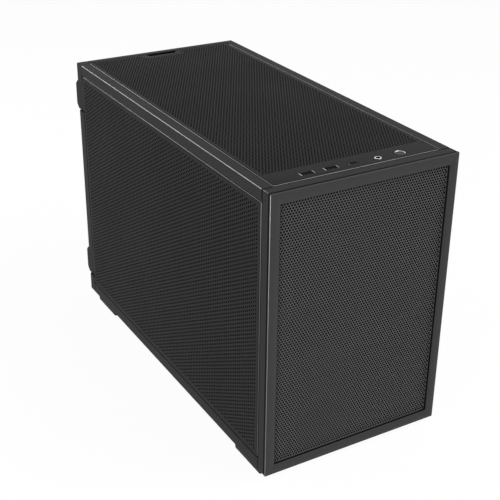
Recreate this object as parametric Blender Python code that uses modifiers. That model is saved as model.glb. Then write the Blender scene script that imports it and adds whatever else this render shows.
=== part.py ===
"""Micro ATX computer case: a folded steel chassis with lift-off perforated panels.

The front faces -Y, the top faces +Z, and the board stands on the +X side. The origin is the
centre of the footprint, on the floor. All lengths are in metres.
"""
import math

import bmesh
import bpy
from mathutils import Matrix, Vector

# Outside of the case
BODY_WIDTH = 0.1860
BODY_LENGTH = 0.3945
BODY_HEIGHT = 0.2695
FOOT_HEIGHT = 0.0050
TAB_REACH = 0.0085

# Sheet steel and clearances
SHEET = 0.0010
SEAT_GAP = 0.0003
PANEL_GAP = 0.0007
BEND = 0.0012

# Borders of the chassis that show round the panels
FRONT_STRIP = 0.0130
REAR_STRIP = 0.0125
SIDE_TOP_STRIP = 0.0108
SIDE_BOTTOM_STRIP = 0.0120
TOP_SIDE_STRIP = 0.0100
TOP_REAR_STRIP = 0.0080
LEDGE_WIDTH = 0.0100
PAN_DEPTH = 0.0060

# Front panel
BEZEL_THICKNESS = 0.0025
BEZEL_GAP = 0.0005
BEZEL_SIDE = 0.0093
BEZEL_END = 0.0100
BEZEL_EDGE = 0.0009
MESH_OVERLAP = 0.0020

# Perforation, drawn coarser than the fine holes of the real sheet, finest on the front
FRONT_HOLE_PITCH = 0.0185
FRONT_HOLE_RADIUS = 0.0070
HOLE_PITCH = 0.0300
HOLE_RADIUS = 0.0122
HOLE_MARGIN = 0.0040
HOLE_SIDES = 4

# Tabs of the side panels and finger notch of the top panel
TAB_HEIGHT = 0.0310
TAB_CENTRE = 0.0360
TAB_BEVEL = 0.0045
TAB_CLEARANCE = 0.0005
NOTCH_WIDTH = 0.0380
NOTCH_DEPTH = 0.0070
NOTCH_TAPER = 0.0040

# Feet
FOOT_LENGTH = 0.0420
FOOT_WIDTH = 0.0140
FOOT_INSET = 0.0035
FOOT_END = 0.0160
FOOT_SLOPE = 0.0025

# Ball studs
STUD_EDGE = 0.0045
STUD_BASE = 0.0022
STUD_BASE_HEIGHT = 0.0010
STUD_NECK = 0.0012
STUD_BALL = 0.0019
STUD_CLEARANCE = 0.0005
STUD_END = 0.0400
STUD_SIDES = 8

# Ports on the top, by the distance of their centre from the middle of the case
PORT_SETBACK = 0.0233
USB_A_PLACES = (-0.0451, -0.0219)
USB_C_PLACE = 0.0
JACK_PLACE = 0.0250
BUTTON_PLACE = 0.0477
USB_A_SIZE = (0.0131, 0.0057)
USB_C_SIZE = (0.0090, 0.0033)
USB_A_CORNER = 0.0010
USB_C_CORNER = 0.0014
USB_WALL = 0.0004
USB_A_TONGUE = (0.0110, 0.0019)
USB_C_TONGUE = (0.0066, 0.0008)
TONGUE_DROP = 0.0010
USB_DEPTH = 0.0100
PORT_CLEARANCE = 0.0004
USB_C_CLEARANCE = 0.0009
JACK_BODY = 0.0080
JACK_COLLAR = 0.0033
JACK_BORE = 0.0018
JACK_DEPTH = 0.0140
JACK_SHOULDER = 0.0020
BUTTON_RADIUS = 0.0052
BUTTON_RIM = 0.0012
BUTTON_DISH = 0.0004
BUTTON_FLANGE = 0.0064
BUTTON_FLANGE_HEIGHT = 0.0010
BUTTON_STEM = 0.0022
BUTTON_TRAVEL = 0.0012
SWITCH_SIZE = 0.0060
SWITCH_HEIGHT = 0.0040
SWITCH_PLUNGER = 0.0016
SWITCH_PLUNGER_HEIGHT = 0.0010
GUIDE_RADIUS = 0.0062
GUIDE_WALL = 0.0014
GUIDE_COLLAR_HEIGHT = 0.0045
BOARD_DEPTH = 0.0220
BOARD_SETBACK = 0.0145
BOARD_END = 0.0110
BOARD_THICKNESS = 0.0016
BOARD_DROP = 0.0220
SHELF_DEPTH = 0.0240
SHELF_LEG = 0.0050

# Board tray
TRAY_GAP = 0.0190
TRAY_FRONT = 0.0620
TRAY_FLANGE = 0.0090
STANDOFF_HEIGHT = 0.0060
STANDOFF_RADIUS = 0.0030
STANDOFF_TOP = 0.0222
STANDOFF_BOTTOM = 0.0238
STANDOFF_ROWS = (0.0, 0.2958, 1.0)
STANDOFF_REAR = 0.0030
STANDOFF_COLUMNS = (0.0102, 0.1638, 0.2375)
COOLER_WINDOW = (0.1050, 0.1000)
COOLER_WINDOW_PLACE = (0.0945, 0.0820)
CABLE_SLOT_WIDTH = 0.0140
CABLE_SLOT_WEB = 0.0200
CABLE_SLOT_COUNT = 3
CABLE_SLOT_END = 0.0205
CABLE_SLOT_SETBACK = 0.0180

# Rear wall
IO_APERTURE_WIDTH = 0.04445
IO_APERTURE_TOP = 0.0105
IO_APERTURE_BOTTOM = 0.10025
IO_APERTURE_SIDE = 0.0250
SLOT_PITCH = 0.02032
SLOT_LOWEST = 0.0230
SLOT_OPENING_HEIGHT = 0.0130
SLOT_COUNT = 4
SLOT_SETBACK = (0.0510, 0.0310)
SLOT_COVER_HEIGHT = 0.0184
SLOT_COVER_OVERLAP = 0.0040
SLOT_COVER_THICKNESS = 0.0008
SHIELD_WIDTH = 0.0140
SHIELD_DEPTH = 0.0040
SHIELD_GAP = 0.0020
SHIELD_END = 0.0100
THUMB_RADIUS = 0.0038
THUMB_HEIGHT = 0.0036
THUMB_SHANK = 0.0015
THUMB_REACH = 0.0030
THUMB_END = 0.0120
GRILLE_SIDE = 0.0200
GRILLE_APERTURE_GAP = 0.00855
GRILLE_TOP = 0.0180
GRILLE_INLET_GAP = 0.01325
GRILLE_RINGS = 3
GRILLE_HOLE_SHARE = 0.4
REAR_VENT = (0.0200, 0.0050)
REAR_VENT_PITCH = 0.0100
REAR_VENT_COUNT = 7
REAR_VENT_PLACE = (0.0180, 0.0250)
INLET_HEIGHT = 0.1365
INLET_FLANGE = (0.0500, 0.0275)
INLET_FLANGE_THICKNESS = 0.0025
INLET_BODY = (0.0290, 0.0220)
INLET_BODY_DEPTH = 0.0200
INLET_MOUTH = (0.0245, 0.0165)
INLET_MOUTH_DEPTH = 0.0160
INLET_CLEARANCE = 0.0004
PIN_SIZE = (0.0020, 0.0040)
PIN_LENGTH = 0.0120
PIN_SPREAD = 0.0070
PIN_OFFSET = 0.0020
INLET_SCREW_SPREAD = 0.0200
INLET_SCREW_HEAD = 0.0028
INLET_SCREW_HEIGHT = 0.0018
INLET_SCREW_SHANK = 0.0014

# Openings of the inner walls
FRONT_WINDOW_SIDE = 0.0300
FRONT_WINDOW_END = 0.0300
ROOF_SETBACK = 0.0440
ROOF_WINDOW_SIDE = 0.0300
ROOF_WINDOW_END = 0.0220
FLOOR_SLOT = (0.1100, 0.0050)
FLOOR_SLOT_PITCH = 0.0160
FLOOR_SLOT_COUNT = 12

# Power supply bracket
BRACKET_SETBACK = 0.0420
BRACKET_HEIGHT = 0.0900
BRACKET_FLANGE = 0.0140
BRACKET_WIDTH = 0.1400
BRACKET_WINDOW = (0.1160, 0.0580)

# Places worked out from the sizes above
SIDE = BODY_WIDTH / 2
FRONT = -(BODY_LENGTH + TAB_REACH) / 2
REAR = FRONT + BODY_LENGTH
BASE = FOOT_HEIGHT
TOP = BASE + BODY_HEIGHT
HALF = SHEET / 2
LEDGE_DROP = PAN_DEPTH + SEAT_GAP
TAB_INSET = SHEET + SEAT_GAP
FRAME_FRONT = FRONT + BEZEL_THICKNESS + BEZEL_GAP
FRAME_BACK = FRONT + FRONT_STRIP - SEAT_GAP
RAIL_FRONT = FRONT + FRONT_STRIP
RAIL_REAR = REAR - REAR_STRIP - SEAT_GAP
PANEL_FRONT = FRONT + FRONT_STRIP + PANEL_GAP
PANEL_REAR = REAR - REAR_STRIP - PANEL_GAP
PANEL_LOW = BASE + SIDE_BOTTOM_STRIP + PANEL_GAP
PANEL_HIGH = TOP - SIDE_TOP_STRIP - PANEL_GAP
TOP_PANEL_SIDE = SIDE - TOP_SIDE_STRIP - PANEL_GAP
TOP_PANEL_REAR = REAR - TOP_REAR_STRIP - PANEL_GAP
STUD_HOLE = STUD_BALL + STUD_CLEARANCE
FRONT_STUD_SIDE = SIDE - PAN_DEPTH - STUD_HOLE
TRAY = SIDE - TRAY_GAP
TRAY_REAR = REAR - SHEET - SEAT_GAP
PORT_Y = FRONT + PORT_SETBACK
BOARD_TOP = TOP - BOARD_DROP
BOARD_LOW = BOARD_TOP - BOARD_THICKNESS
PORT_SEAT = BOARD_TOP + SEAT_GAP
CABLE_SLOT_PITCH = (BODY_HEIGHT - 2 * CABLE_SLOT_END) / CABLE_SLOT_COUNT
CABLE_SLOT_HEIGHT = CABLE_SLOT_PITCH - CABLE_SLOT_WEB
APERTURE_RIGHT = SIDE - IO_APERTURE_SIDE
APERTURE_LEFT = APERTURE_RIGHT - IO_APERTURE_WIDTH
SLOT_RIGHT = SIDE - SLOT_SETBACK[1]
SLOT_LEFT = -SIDE + SLOT_SETBACK[0]
SLOT_HEIGHTS = [BASE + SLOT_LOWEST + index * SLOT_PITCH for index in range(SLOT_COUNT)]
SHIELD_RIGHT = SLOT_LEFT - SHIELD_GAP
SHIELD_X = SHIELD_RIGHT - SHIELD_WIDTH / 2
SHIELD_LOW = SLOT_HEIGHTS[0] - SHIELD_END
SHIELD_HIGH = SLOT_HEIGHTS[-1] + SHIELD_END
THUMB_HEIGHTS = (SHIELD_LOW + THUMB_END, SHIELD_HIGH - THUMB_END)
THUMB_HOLE = THUMB_SHANK + PORT_CLEARANCE
INLET_Z = BASE + INLET_HEIGHT
GRILLE_LOW = INLET_Z + INLET_FLANGE[1] / 2 + GRILLE_INLET_GAP
GRILLE_HIGH = TOP - GRILLE_TOP
GRILLE_LEFT = -SIDE + GRILLE_SIDE
GRILLE_RIGHT = APERTURE_LEFT - GRILLE_APERTURE_GAP
GRILLE_RADIUS = min(GRILLE_HIGH - GRILLE_LOW, GRILLE_RIGHT - GRILLE_LEFT) / 2
GRILLE_PITCH = GRILLE_RADIUS / (GRILLE_RINGS + GRILLE_HOLE_SHARE)
GRILLE_HOLE = GRILLE_PITCH * GRILLE_HOLE_SHARE
GRILLE_X = (GRILLE_LEFT + GRILLE_RIGHT) / 2
GRILLE_Z = (GRILLE_LOW + GRILLE_HIGH) / 2
INLET_X = GRILLE_X
SIDES = {"left": -1, "right": 1}


def clear_scene():
    for thing in list(bpy.data.objects):
        bpy.data.objects.remove(thing)


def collection(name):
    group = bpy.data.collections.new(name)
    bpy.context.scene.collection.children.link(group)
    return group


def finish(name, colour, roughness, metallic=0.0):
    material = bpy.data.materials.new(name)
    material.use_nodes = True
    shader = material.node_tree.nodes["Principled BSDF"]
    shader.inputs["Base Color"].default_value = (*colour, 1.0)
    shader.inputs["Roughness"].default_value = roughness
    shader.inputs["Metallic"].default_value = metallic
    material.diffuse_color = (*colour, 1.0)
    return material


def to_object(form, name, material=None, smooth=False):
    """Turns a bmesh into an object of the part, and frees it."""
    mesh = bpy.data.meshes.new(name)
    form.to_mesh(mesh)
    form.free()
    thing = bpy.data.objects.new(name, mesh)
    PARTS.objects.link(thing)
    if material:
        mesh.materials.append(material)
    if smooth:
        mesh.shade_smooth()
        mesh.set_sharp_from_angle(angle=math.radians(35))
    return thing


def block(form, low, high):
    """Adds a box between two corners."""
    low = Vector(low)
    high = Vector(high)
    place = Matrix.Translation((low + high) / 2) @ Matrix.Diagonal((*(high - low), 1.0))
    return bmesh.ops.create_cube(form, size=1.0, matrix=place)["verts"]


def rounded_block(form, low, high, corner, steps=2):
    """Adds a box between two corners and rounds its upright edges."""
    made = set(block(form, low, high))
    upright = [edge for edge in form.edges if made.issuperset(edge.verts)
               and abs((edge.verts[0].co - edge.verts[1].co).z) > HALF]
    bmesh.ops.bevel(form, geom=upright, offset=corner, segments=steps, profile=0.5, affect="EDGES")


def facing(axis):
    """Gives the turn that takes +Z to an axis."""
    return Vector(axis).to_track_quat("Z", "Y").to_matrix().to_4x4()


def bar(form, start, axis, length, radius, sides=16, turn=0.0):
    """Adds a closed cylinder or prism that starts at a point and runs along an axis."""
    middle = Vector(start) + Vector(axis).normalized() * length / 2
    place = Matrix.Translation(middle) @ facing(axis) @ Matrix.Rotation(turn, 4, "Z")
    bmesh.ops.create_cone(form, cap_ends=True, segments=sides, radius1=radius, radius2=radius,
                          depth=length, matrix=place)


def applied(thing):
    """Makes the object's modifiers part of its mesh."""
    bpy.context.view_layer.update()
    depsgraph = bpy.context.evaluated_depsgraph_get()
    mesh = bpy.data.meshes.new_from_object(thing.evaluated_get(depsgraph))
    old = thing.data
    thing.modifiers.clear()
    thing.data = mesh
    bpy.data.meshes.remove(old)
    mesh.name = thing.name
    return thing


def boolean(thing, tool, operation):
    """Joins a second object to the first, or cuts it out of the first."""
    PARTS.objects.unlink(tool)
    TOOLS.objects.link(tool)
    tool.hide_render = True
    tool.display_type = "WIRE"
    step = thing.modifiers.new(operation.lower(), "BOOLEAN")
    step.operation = operation
    step.solver = "EXACT"
    step.object = tool
    applied(thing)
    mesh = tool.data
    bpy.data.objects.remove(tool)
    bpy.data.meshes.remove(mesh)
    return thing


def cut(thing, form):
    return boolean(thing, to_object(form, thing.name + "_cutter"), "DIFFERENCE")


def join(thing, form):
    return boolean(thing, to_object(form, thing.name + "_addition"), "UNION")


def bent_line(points, radius, steps=2):
    """Gives a line of points with an arc at each inner corner, as a sheet is bent."""
    line = [Vector(points[0])]
    for before, corner, after in zip(points, points[1:], points[2:]):
        corner = Vector(corner)
        to_before = (Vector(before) - corner).normalized()
        to_after = (Vector(after) - corner).normalized()
        centre = corner + (to_before + to_after) * radius
        for step in range(steps + 1):
            angle = math.pi / 2 * step / steps
            line.append(centre - to_after * radius * math.cos(angle)
                        - to_before * radius * math.sin(angle))
    line.append(Vector(points[-1]))
    return line


def folded_sheet(name, points, along, start, end, material):
    """Bends a sheet along a line of corners and runs that section from start to end.

    The line is the middle of the sheet. A section that runs along X is read as (y, z), along
    Y as (x, z) and along Z as (x, y).
    """
    form = bmesh.new()
    line = bent_line(points, BEND - HALF)

    def place(point, reach):
        if along == "X":
            return (reach, point.x, point.y)
        return (point.x, reach, point.y)

    first = [form.verts.new(place(point, start)) for point in line]
    last = [form.verts.new(place(point, end)) for point in line]
    for index in range(len(line) - 1):
        form.faces.new((first[index], first[index + 1], last[index + 1], last[index]))
    sheet = to_object(form, name, material)
    wall = sheet.modifiers.new("thickness", "SOLIDIFY")
    wall.thickness = SHEET
    wall.offset = 0.0
    wall.use_even_offset = True
    return applied(sheet)


def pan(name, low, high, open_side, material):
    """Folds a pan: a box with bent edges and one open side, measured over its outside."""
    form = bmesh.new()
    block(form, low, high)
    lid = [face for face in form.faces if face.normal.dot(Vector(open_side)) > 0.9]
    rim = {edge for face in lid for edge in face.edges}
    bends = [edge for edge in form.edges if edge not in rim]
    bmesh.ops.delete(form, geom=lid, context="FACES_ONLY")
    bmesh.ops.bevel(form, geom=bends, offset=BEND, segments=2, profile=0.5, affect="EDGES")
    sheet = to_object(form, name, material)
    wall = sheet.modifiers.new("thickness", "SOLIDIFY")
    wall.thickness = SHEET
    wall.offset = -1.0
    wall.use_even_offset = True
    return applied(sheet)


def turned(name, profile, start, axis, sides, material):
    """Turns a profile of (radius, height) points, which runs down its outer side."""
    form = bmesh.new()
    line = [form.verts.new((radius, 0.0, height)) for radius, height in profile]
    for first, second in zip(line, line[1:]):
        form.edges.new((first, second))
    if profile[0][0] > 0.0:
        form.edges.new((line[-1], line[0]))
    thing = to_object(form, name, material)
    lathe = thing.modifiers.new("lathe", "SCREW")
    lathe.axis = "Z"
    lathe.steps = sides
    lathe.render_steps = sides
    lathe.use_merge_vertices = True
    lathe.merge_threshold = 0.00001
    applied(thing)
    thing.matrix_world = Matrix.Translation(Vector(start)) @ facing(axis)
    thing.data.shade_smooth()
    thing.data.set_sharp_from_angle(angle=math.radians(35))
    return thing


def lattice(width, height, pitch, radius, margin):
    """Gives the centres of a staggered pattern of holes, centred on its field."""
    step = pitch * math.sqrt(3) / 2
    rows = int((height - 2 * (margin + radius)) / step) + 1
    columns = int((width - 2 * (margin + radius)) / pitch) + 1
    for row in range(rows):
        odd = row % 2
        for column in range(columns - odd):
            u = (column + odd / 2 - (columns - 1) / 2) * pitch
            v = (row - (rows - 1) / 2) * step
            yield u, v


def make_front_frame():
    """Folded front wall, whose flanges are the border behind the front panel."""
    wall = pan("front_frame", (-SIDE, FRAME_FRONT, BASE), (SIDE, FRAME_BACK, TOP), (0, -1, 0), STEEL)
    holes = bmesh.new()
    block(holes, (-SIDE + FRONT_WINDOW_SIDE, FRAME_FRONT, BASE + FRONT_WINDOW_END),
          (SIDE - FRONT_WINDOW_SIDE, FRAME_BACK + SHEET, TOP - FRONT_WINDOW_END))
    for x, z in front_stud_places():
        bar(holes, (x, FRAME_BACK - 3 * SHEET, z), (0, 1, 0), 6 * SHEET, STUD_HOLE, STUD_SIDES)
    return cut(wall, holes)


def make_top_frame():
    """Folded side rails joined by a roof sheet with a fan window, under the top panel."""
    ledge_x = SIDE - LEDGE_DROP - HALF
    inner_x = SIDE - TOP_SIDE_STRIP + HALF
    strip_z = TOP - SIDE_TOP_STRIP + HALF
    roof_z = TOP - LEDGE_DROP - HALF
    rails = []
    for side in (-1, 1):
        section = [
            (side * ledge_x, strip_z - LEDGE_WIDTH - HALF),
            (side * ledge_x, strip_z),
            (side * (SIDE - HALF), strip_z),
            (side * (SIDE - HALF), TOP - HALF),
            (side * inner_x, TOP - HALF),
            (side * inner_x, roof_z),
            (side * (inner_x - HALF - LEDGE_WIDTH), roof_z),
        ]
        rails.append(folded_sheet("top_frame", section, "Y", RAIL_FRONT, RAIL_REAR, STEEL))
    roof = bmesh.new()
    reach = inner_x - HALF - LEDGE_WIDTH / 2
    block(roof, (-reach, FRONT + ROOF_SETBACK, roof_z - HALF), (reach, RAIL_REAR, roof_z + HALF))
    frame = join(rails[0], roof)
    frame = boolean(frame, rails[1], "UNION")
    frame.name = "top_frame"
    holes = bmesh.new()
    block(holes, (-SIDE + ROOF_WINDOW_SIDE, FRONT + ROOF_SETBACK + ROOF_WINDOW_END, roof_z - SHEET),
          (SIDE - ROOF_WINDOW_SIDE, RAIL_REAR - ROOF_WINDOW_END, roof_z + SHEET))
    for x, y in top_stud_places():
        bar(holes, (x, y, roof_z - 2 * SHEET), (0, 0, 1), 4 * SHEET, STUD_HOLE, STUD_SIDES)
    for side in (-1, 1):
        for y, z in side_stud_places(top=True):
            bar(holes, (side * (ledge_x - 2 * SHEET), y, z), (side, 0, 0), 4 * SHEET, STUD_HOLE,
                STUD_SIDES)
    return cut(frame, holes)


def make_bottom_panel():
    """Folded floor with its two side borders, the ledges behind them and rows of vents."""
    ledge_x = SIDE - LEDGE_DROP - HALF
    strip_z = BASE + SIDE_BOTTOM_STRIP - HALF
    half_section = [
        (ledge_x, strip_z + LEDGE_WIDTH + HALF),
        (ledge_x, strip_z),
        (SIDE - HALF, strip_z),
        (SIDE - HALF, BASE + HALF),
    ]
    section = [(-x, z) for x, z in half_section] + half_section[::-1]
    floor = folded_sheet("bottom_panel", section, "Y", RAIL_FRONT, RAIL_REAR, STEEL)
    holes = bmesh.new()
    middle = (RAIL_FRONT + RAIL_REAR) / 2
    for index in range(FLOOR_SLOT_COUNT):
        y = middle + (index - (FLOOR_SLOT_COUNT - 1) / 2) * FLOOR_SLOT_PITCH
        block(holes, (-FLOOR_SLOT[0] / 2, y - FLOOR_SLOT[1] / 2, BASE - SHEET),
              (FLOOR_SLOT[0] / 2, y + FLOOR_SLOT[1] / 2, BASE + 2 * SHEET))
    for side in (-1, 1):
        for y, z in side_stud_places(top=False):
            bar(holes, (side * (ledge_x - 2 * SHEET), y, z), (side, 0, 0), 4 * SHEET, STUD_HOLE,
                STUD_SIDES)
    return cut(floor, holes)


def make_rear_panel():
    """Folded rear wall with the board's aperture, the slots, the fan grille and the inlet."""
    wall = pan("rear_panel", (-SIDE, REAR - REAR_STRIP, BASE), (SIDE, REAR, TOP), (0, -1, 0), STEEL)
    holes = bmesh.new()
    through = (REAR - 2 * SHEET, REAR + SHEET)

    def window(x_low, x_high, z_low, z_high):
        block(holes, (x_low, through[0], z_low), (x_high, through[1], z_high))

    window(APERTURE_LEFT, APERTURE_RIGHT, BASE + IO_APERTURE_BOTTOM, TOP - IO_APERTURE_TOP)
    for z in SLOT_HEIGHTS:
        window(SLOT_LEFT, SLOT_RIGHT, z - SLOT_OPENING_HEIGHT / 2, z + SLOT_OPENING_HEIGHT / 2)
    for index in range(REAR_VENT_COUNT):
        x = -SIDE + REAR_VENT_PLACE[0]
        z = BASE + REAR_VENT_PLACE[1] + index * REAR_VENT_PITCH
        window(x - REAR_VENT[0] / 2, x + REAR_VENT[0] / 2, z - REAR_VENT[1] / 2, z + REAR_VENT[1] / 2)
    window(INLET_X - INLET_BODY[0] / 2 - INLET_CLEARANCE, INLET_X + INLET_BODY[0] / 2 + INLET_CLEARANCE,
           INLET_Z - INLET_BODY[1] / 2 - INLET_CLEARANCE, INLET_Z + INLET_BODY[1] / 2 + INLET_CLEARANCE)
    for side in (-1, 1):
        bar(holes, (INLET_X + side * INLET_SCREW_SPREAD, through[0], INLET_Z), (0, 1, 0), 3 * SHEET,
            INLET_SCREW_SHANK + INLET_CLEARANCE, 12)
    for z in THUMB_HEIGHTS:
        bar(holes, (SHIELD_X, through[0], z), (0, 1, 0), 3 * SHEET, THUMB_HOLE, 12)
    reach = 2 * GRILLE_RADIUS + GRILLE_HOLE
    for u, v in lattice(reach, reach, GRILLE_PITCH, GRILLE_HOLE, 0.0):
        if math.hypot(u, v) < GRILLE_RADIUS:
            bar(holes, (GRILLE_X + u, through[0], GRILLE_Z + v), (0, 1, 0), 3 * SHEET, GRILLE_HOLE, 6)
    cut(wall, holes)
    trims = bmesh.new()
    block(trims, (-SIDE + TOP_SIDE_STRIP, REAR - REAR_STRIP - SHEET, TOP - 2 * SHEET),
          (SIDE - TOP_SIDE_STRIP, REAR - TOP_REAR_STRIP, TOP + SHEET))
    for side in (-1, 1):
        outer = side * (SIDE + SHEET)
        inner = side * (SIDE - TAB_INSET - SHEET - TAB_CLEARANCE)
        for z in tab_heights():
            block(trims, (min(outer, inner), REAR - REAR_STRIP - SHEET, z - TAB_HEIGHT / 2 - TAB_CLEARANCE),
                  (max(outer, inner), REAR + SHEET, z + TAB_HEIGHT / 2 + TAB_CLEARANCE))
    return cut(wall, trims)


def make_motherboard_tray():
    """Upright sheet with a floor flange, pressed stand-offs, a cooler window and cable slots."""
    floor_z = BASE + SHEET + SEAT_GAP + HALF
    section = [
        (TRAY + TRAY_FLANGE, floor_z),
        (TRAY, floor_z),
        (TRAY, TOP - LEDGE_DROP - SHEET - SEAT_GAP),
    ]
    tray = folded_sheet("motherboard_tray", section, "Y", FRONT + TRAY_FRONT, TRAY_REAR, STEEL)
    posts = bmesh.new()
    lowest = BASE + STANDOFF_BOTTOM
    highest = TOP - STANDOFF_TOP
    for share in STANDOFF_ROWS:
        for setback in STANDOFF_COLUMNS:
            y = REAR - STANDOFF_REAR - setback
            z = lowest + (highest - lowest) * share
            bar(posts, (TRAY, y, z), (-1, 0, 0), STANDOFF_HEIGHT + HALF, STANDOFF_RADIUS, 12)
    join(tray, posts)
    holes = bmesh.new()
    y = REAR - COOLER_WINDOW_PLACE[0]
    z = TOP - COOLER_WINDOW_PLACE[1]
    block(holes, (TRAY - SHEET, y - COOLER_WINDOW[0] / 2, z - COOLER_WINDOW[1] / 2),
          (TRAY + SHEET, y + COOLER_WINDOW[0] / 2, z + COOLER_WINDOW[1] / 2))
    y = FRONT + TRAY_FRONT + CABLE_SLOT_SETBACK
    for index in range(CABLE_SLOT_COUNT):
        z = (BASE + TOP) / 2 + (index - (CABLE_SLOT_COUNT - 1) / 2) * CABLE_SLOT_PITCH
        block(holes, (TRAY - SHEET, y - CABLE_SLOT_WIDTH / 2, z - CABLE_SLOT_HEIGHT / 2),
              (TRAY + SHEET, y + CABLE_SLOT_WIDTH / 2, z + CABLE_SLOT_HEIGHT / 2))
    return cut(tray, holes)


def make_psu_bracket():
    """Upright plate that the small power supply screws to, with a floor flange."""
    floor_z = BASE + SHEET + SEAT_GAP + HALF
    y = FRONT + BRACKET_SETBACK
    section = [(y + BRACKET_FLANGE, floor_z), (y, floor_z), (y, BASE + BRACKET_HEIGHT)]
    bracket = folded_sheet("psu_bracket", section, "X", -BRACKET_WIDTH / 2, BRACKET_WIDTH / 2, STEEL)
    hole = bmesh.new()
    z = BASE + BRACKET_HEIGHT / 2
    block(hole, (-BRACKET_WINDOW[0] / 2, y - SHEET, z - BRACKET_WINDOW[1] / 2),
          (BRACKET_WINDOW[0] / 2, y + SHEET, z + BRACKET_WINDOW[1] / 2))
    return cut(bracket, hole)


def make_slot_covers():
    for index, z in enumerate(SLOT_HEIGHTS, 1):
        form = bmesh.new()
        outer = REAR - SHEET - SEAT_GAP
        left = SLOT_LEFT - SLOT_COVER_OVERLAP
        right = SLOT_RIGHT + SLOT_COVER_OVERLAP
        block(form, (left, outer - SLOT_COVER_THICKNESS, z - SLOT_COVER_HEIGHT / 2),
              (right, outer, z + SLOT_COVER_HEIGHT / 2))
        to_object(form, f"slot_cover_{index}", STEEL)


def make_slot_shield():
    """Folded strip outside the slots, held by two thumbscrews."""
    seat = REAR + SEAT_GAP
    shield = pan("slot_shield", (SHIELD_RIGHT - SHIELD_WIDTH, seat, SHIELD_LOW),
                 (SHIELD_RIGHT, seat + SHIELD_DEPTH, SHIELD_HIGH), (0, -1, 0), STEEL)
    holes = bmesh.new()
    for z in THUMB_HEIGHTS:
        bar(holes, (SHIELD_X, seat, z), (0, 1, 0), 2 * SHIELD_DEPTH, THUMB_HOLE, 12)
    cut(shield, holes)
    head_seat = seat + SHIELD_DEPTH + SEAT_GAP
    length = THUMB_HEIGHT + SHIELD_DEPTH + 2 * SEAT_GAP + SHEET + THUMB_REACH
    for index, z in enumerate(THUMB_HEIGHTS, 1):
        profile = [
            (0.0, length),
            (THUMB_RADIUS, length),
            (THUMB_RADIUS, length - THUMB_HEIGHT),
            (THUMB_SHANK, length - THUMB_HEIGHT),
            (THUMB_SHANK, 0.0),
            (0.0, 0.0),
        ]
        start = (SHIELD_X, head_seat + THUMB_HEIGHT - length, z)
        turned(f"slot_thumbscrew_{index}", profile, start, (0, 1, 0), 12, ZINC)


def make_ac_inlet():
    """Moulded mains inlet with its three blades and two screws."""
    seat = REAR + SEAT_GAP
    face = seat + INLET_FLANGE_THICKNESS
    form = bmesh.new()
    block(form, (INLET_X - INLET_FLANGE[0] / 2, seat, INLET_Z - INLET_FLANGE[1] / 2),
          (INLET_X + INLET_FLANGE[0] / 2, face, INLET_Z + INLET_FLANGE[1] / 2))
    upright = [edge for edge in form.edges if abs((edge.verts[0].co - edge.verts[1].co).y) > SHEET]
    bmesh.ops.bevel(form, geom=upright, offset=0.004, segments=2, profile=0.5, affect="EDGES")
    inlet = to_object(form, "ac_inlet", PLASTIC)
    body = bmesh.new()
    block(body, (INLET_X - INLET_BODY[0] / 2, REAR - INLET_BODY_DEPTH, INLET_Z - INLET_BODY[1] / 2),
          (INLET_X + INLET_BODY[0] / 2, face - HALF, INLET_Z + INLET_BODY[1] / 2))
    join(inlet, body)
    holes = bmesh.new()
    floor = face - INLET_MOUTH_DEPTH
    block(holes, (INLET_X - INLET_MOUTH[0] / 2, floor, INLET_Z - INLET_MOUTH[1] / 2),
          (INLET_X + INLET_MOUTH[0] / 2, face + SHEET, INLET_Z + INLET_MOUTH[1] / 2))
    for side in (-1, 1):
        bar(holes, (INLET_X + side * INLET_SCREW_SPREAD, seat - SHEET, INLET_Z), (0, 1, 0),
            INLET_FLANGE_THICKNESS + 2 * SHEET, INLET_SCREW_SHANK + INLET_CLEARANCE, 12)
    cut(inlet, holes)
    blades = {
        "line": (-PIN_SPREAD, -PIN_OFFSET),
        "neutral": (PIN_SPREAD, -PIN_OFFSET),
        "earth": (0.0, PIN_OFFSET),
    }
    for blade, (x, z) in blades.items():
        form = bmesh.new()
        block(form, (INLET_X + x - PIN_SIZE[0] / 2, floor + SEAT_GAP, INLET_Z + z - PIN_SIZE[1] / 2),
              (INLET_X + x + PIN_SIZE[0] / 2, floor + SEAT_GAP + PIN_LENGTH, INLET_Z + z + PIN_SIZE[1] / 2))
        to_object(form, f"inlet_blade_{blade}", ZINC)
    length = INLET_SCREW_HEIGHT + INLET_FLANGE_THICKNESS + 2 * SEAT_GAP + 3 * SHEET
    for name, side in SIDES.items():
        profile = [
            (0.0, length),
            (INLET_SCREW_HEAD * 0.7, length),
            (INLET_SCREW_HEAD, length - INLET_SCREW_HEIGHT / 2),
            (INLET_SCREW_HEAD, length - INLET_SCREW_HEIGHT),
            (INLET_SCREW_SHANK, length - INLET_SCREW_HEIGHT),
            (INLET_SCREW_SHANK, 0.0),
            (0.0, 0.0),
        ]
        start = (INLET_X + side * INLET_SCREW_SPREAD, face + SEAT_GAP + INLET_SCREW_HEIGHT - length, INLET_Z)
        turned(f"inlet_screw_{name}", profile, start, (0, 1, 0), 12, ZINC)


def make_port_carrier():
    """Shelf behind the front wall with the port board on it."""
    left = USB_A_PLACES[0] - BOARD_END
    right = BUTTON_PLACE + BOARD_END
    y = FRAME_BACK + SEAT_GAP + HALF
    z = BOARD_LOW - SEAT_GAP - HALF
    section = [(y, z - SHELF_LEG), (y, z), (y + SHELF_DEPTH, z)]
    folded_sheet("port_shelf", section, "X", left, right, STEEL)
    board = bmesh.new()
    front = FRONT + BOARD_SETBACK
    block(board, (left, front, BOARD_LOW), (right, front + BOARD_DEPTH, BOARD_TOP))
    to_object(board, "port_board", BOARD)


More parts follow.
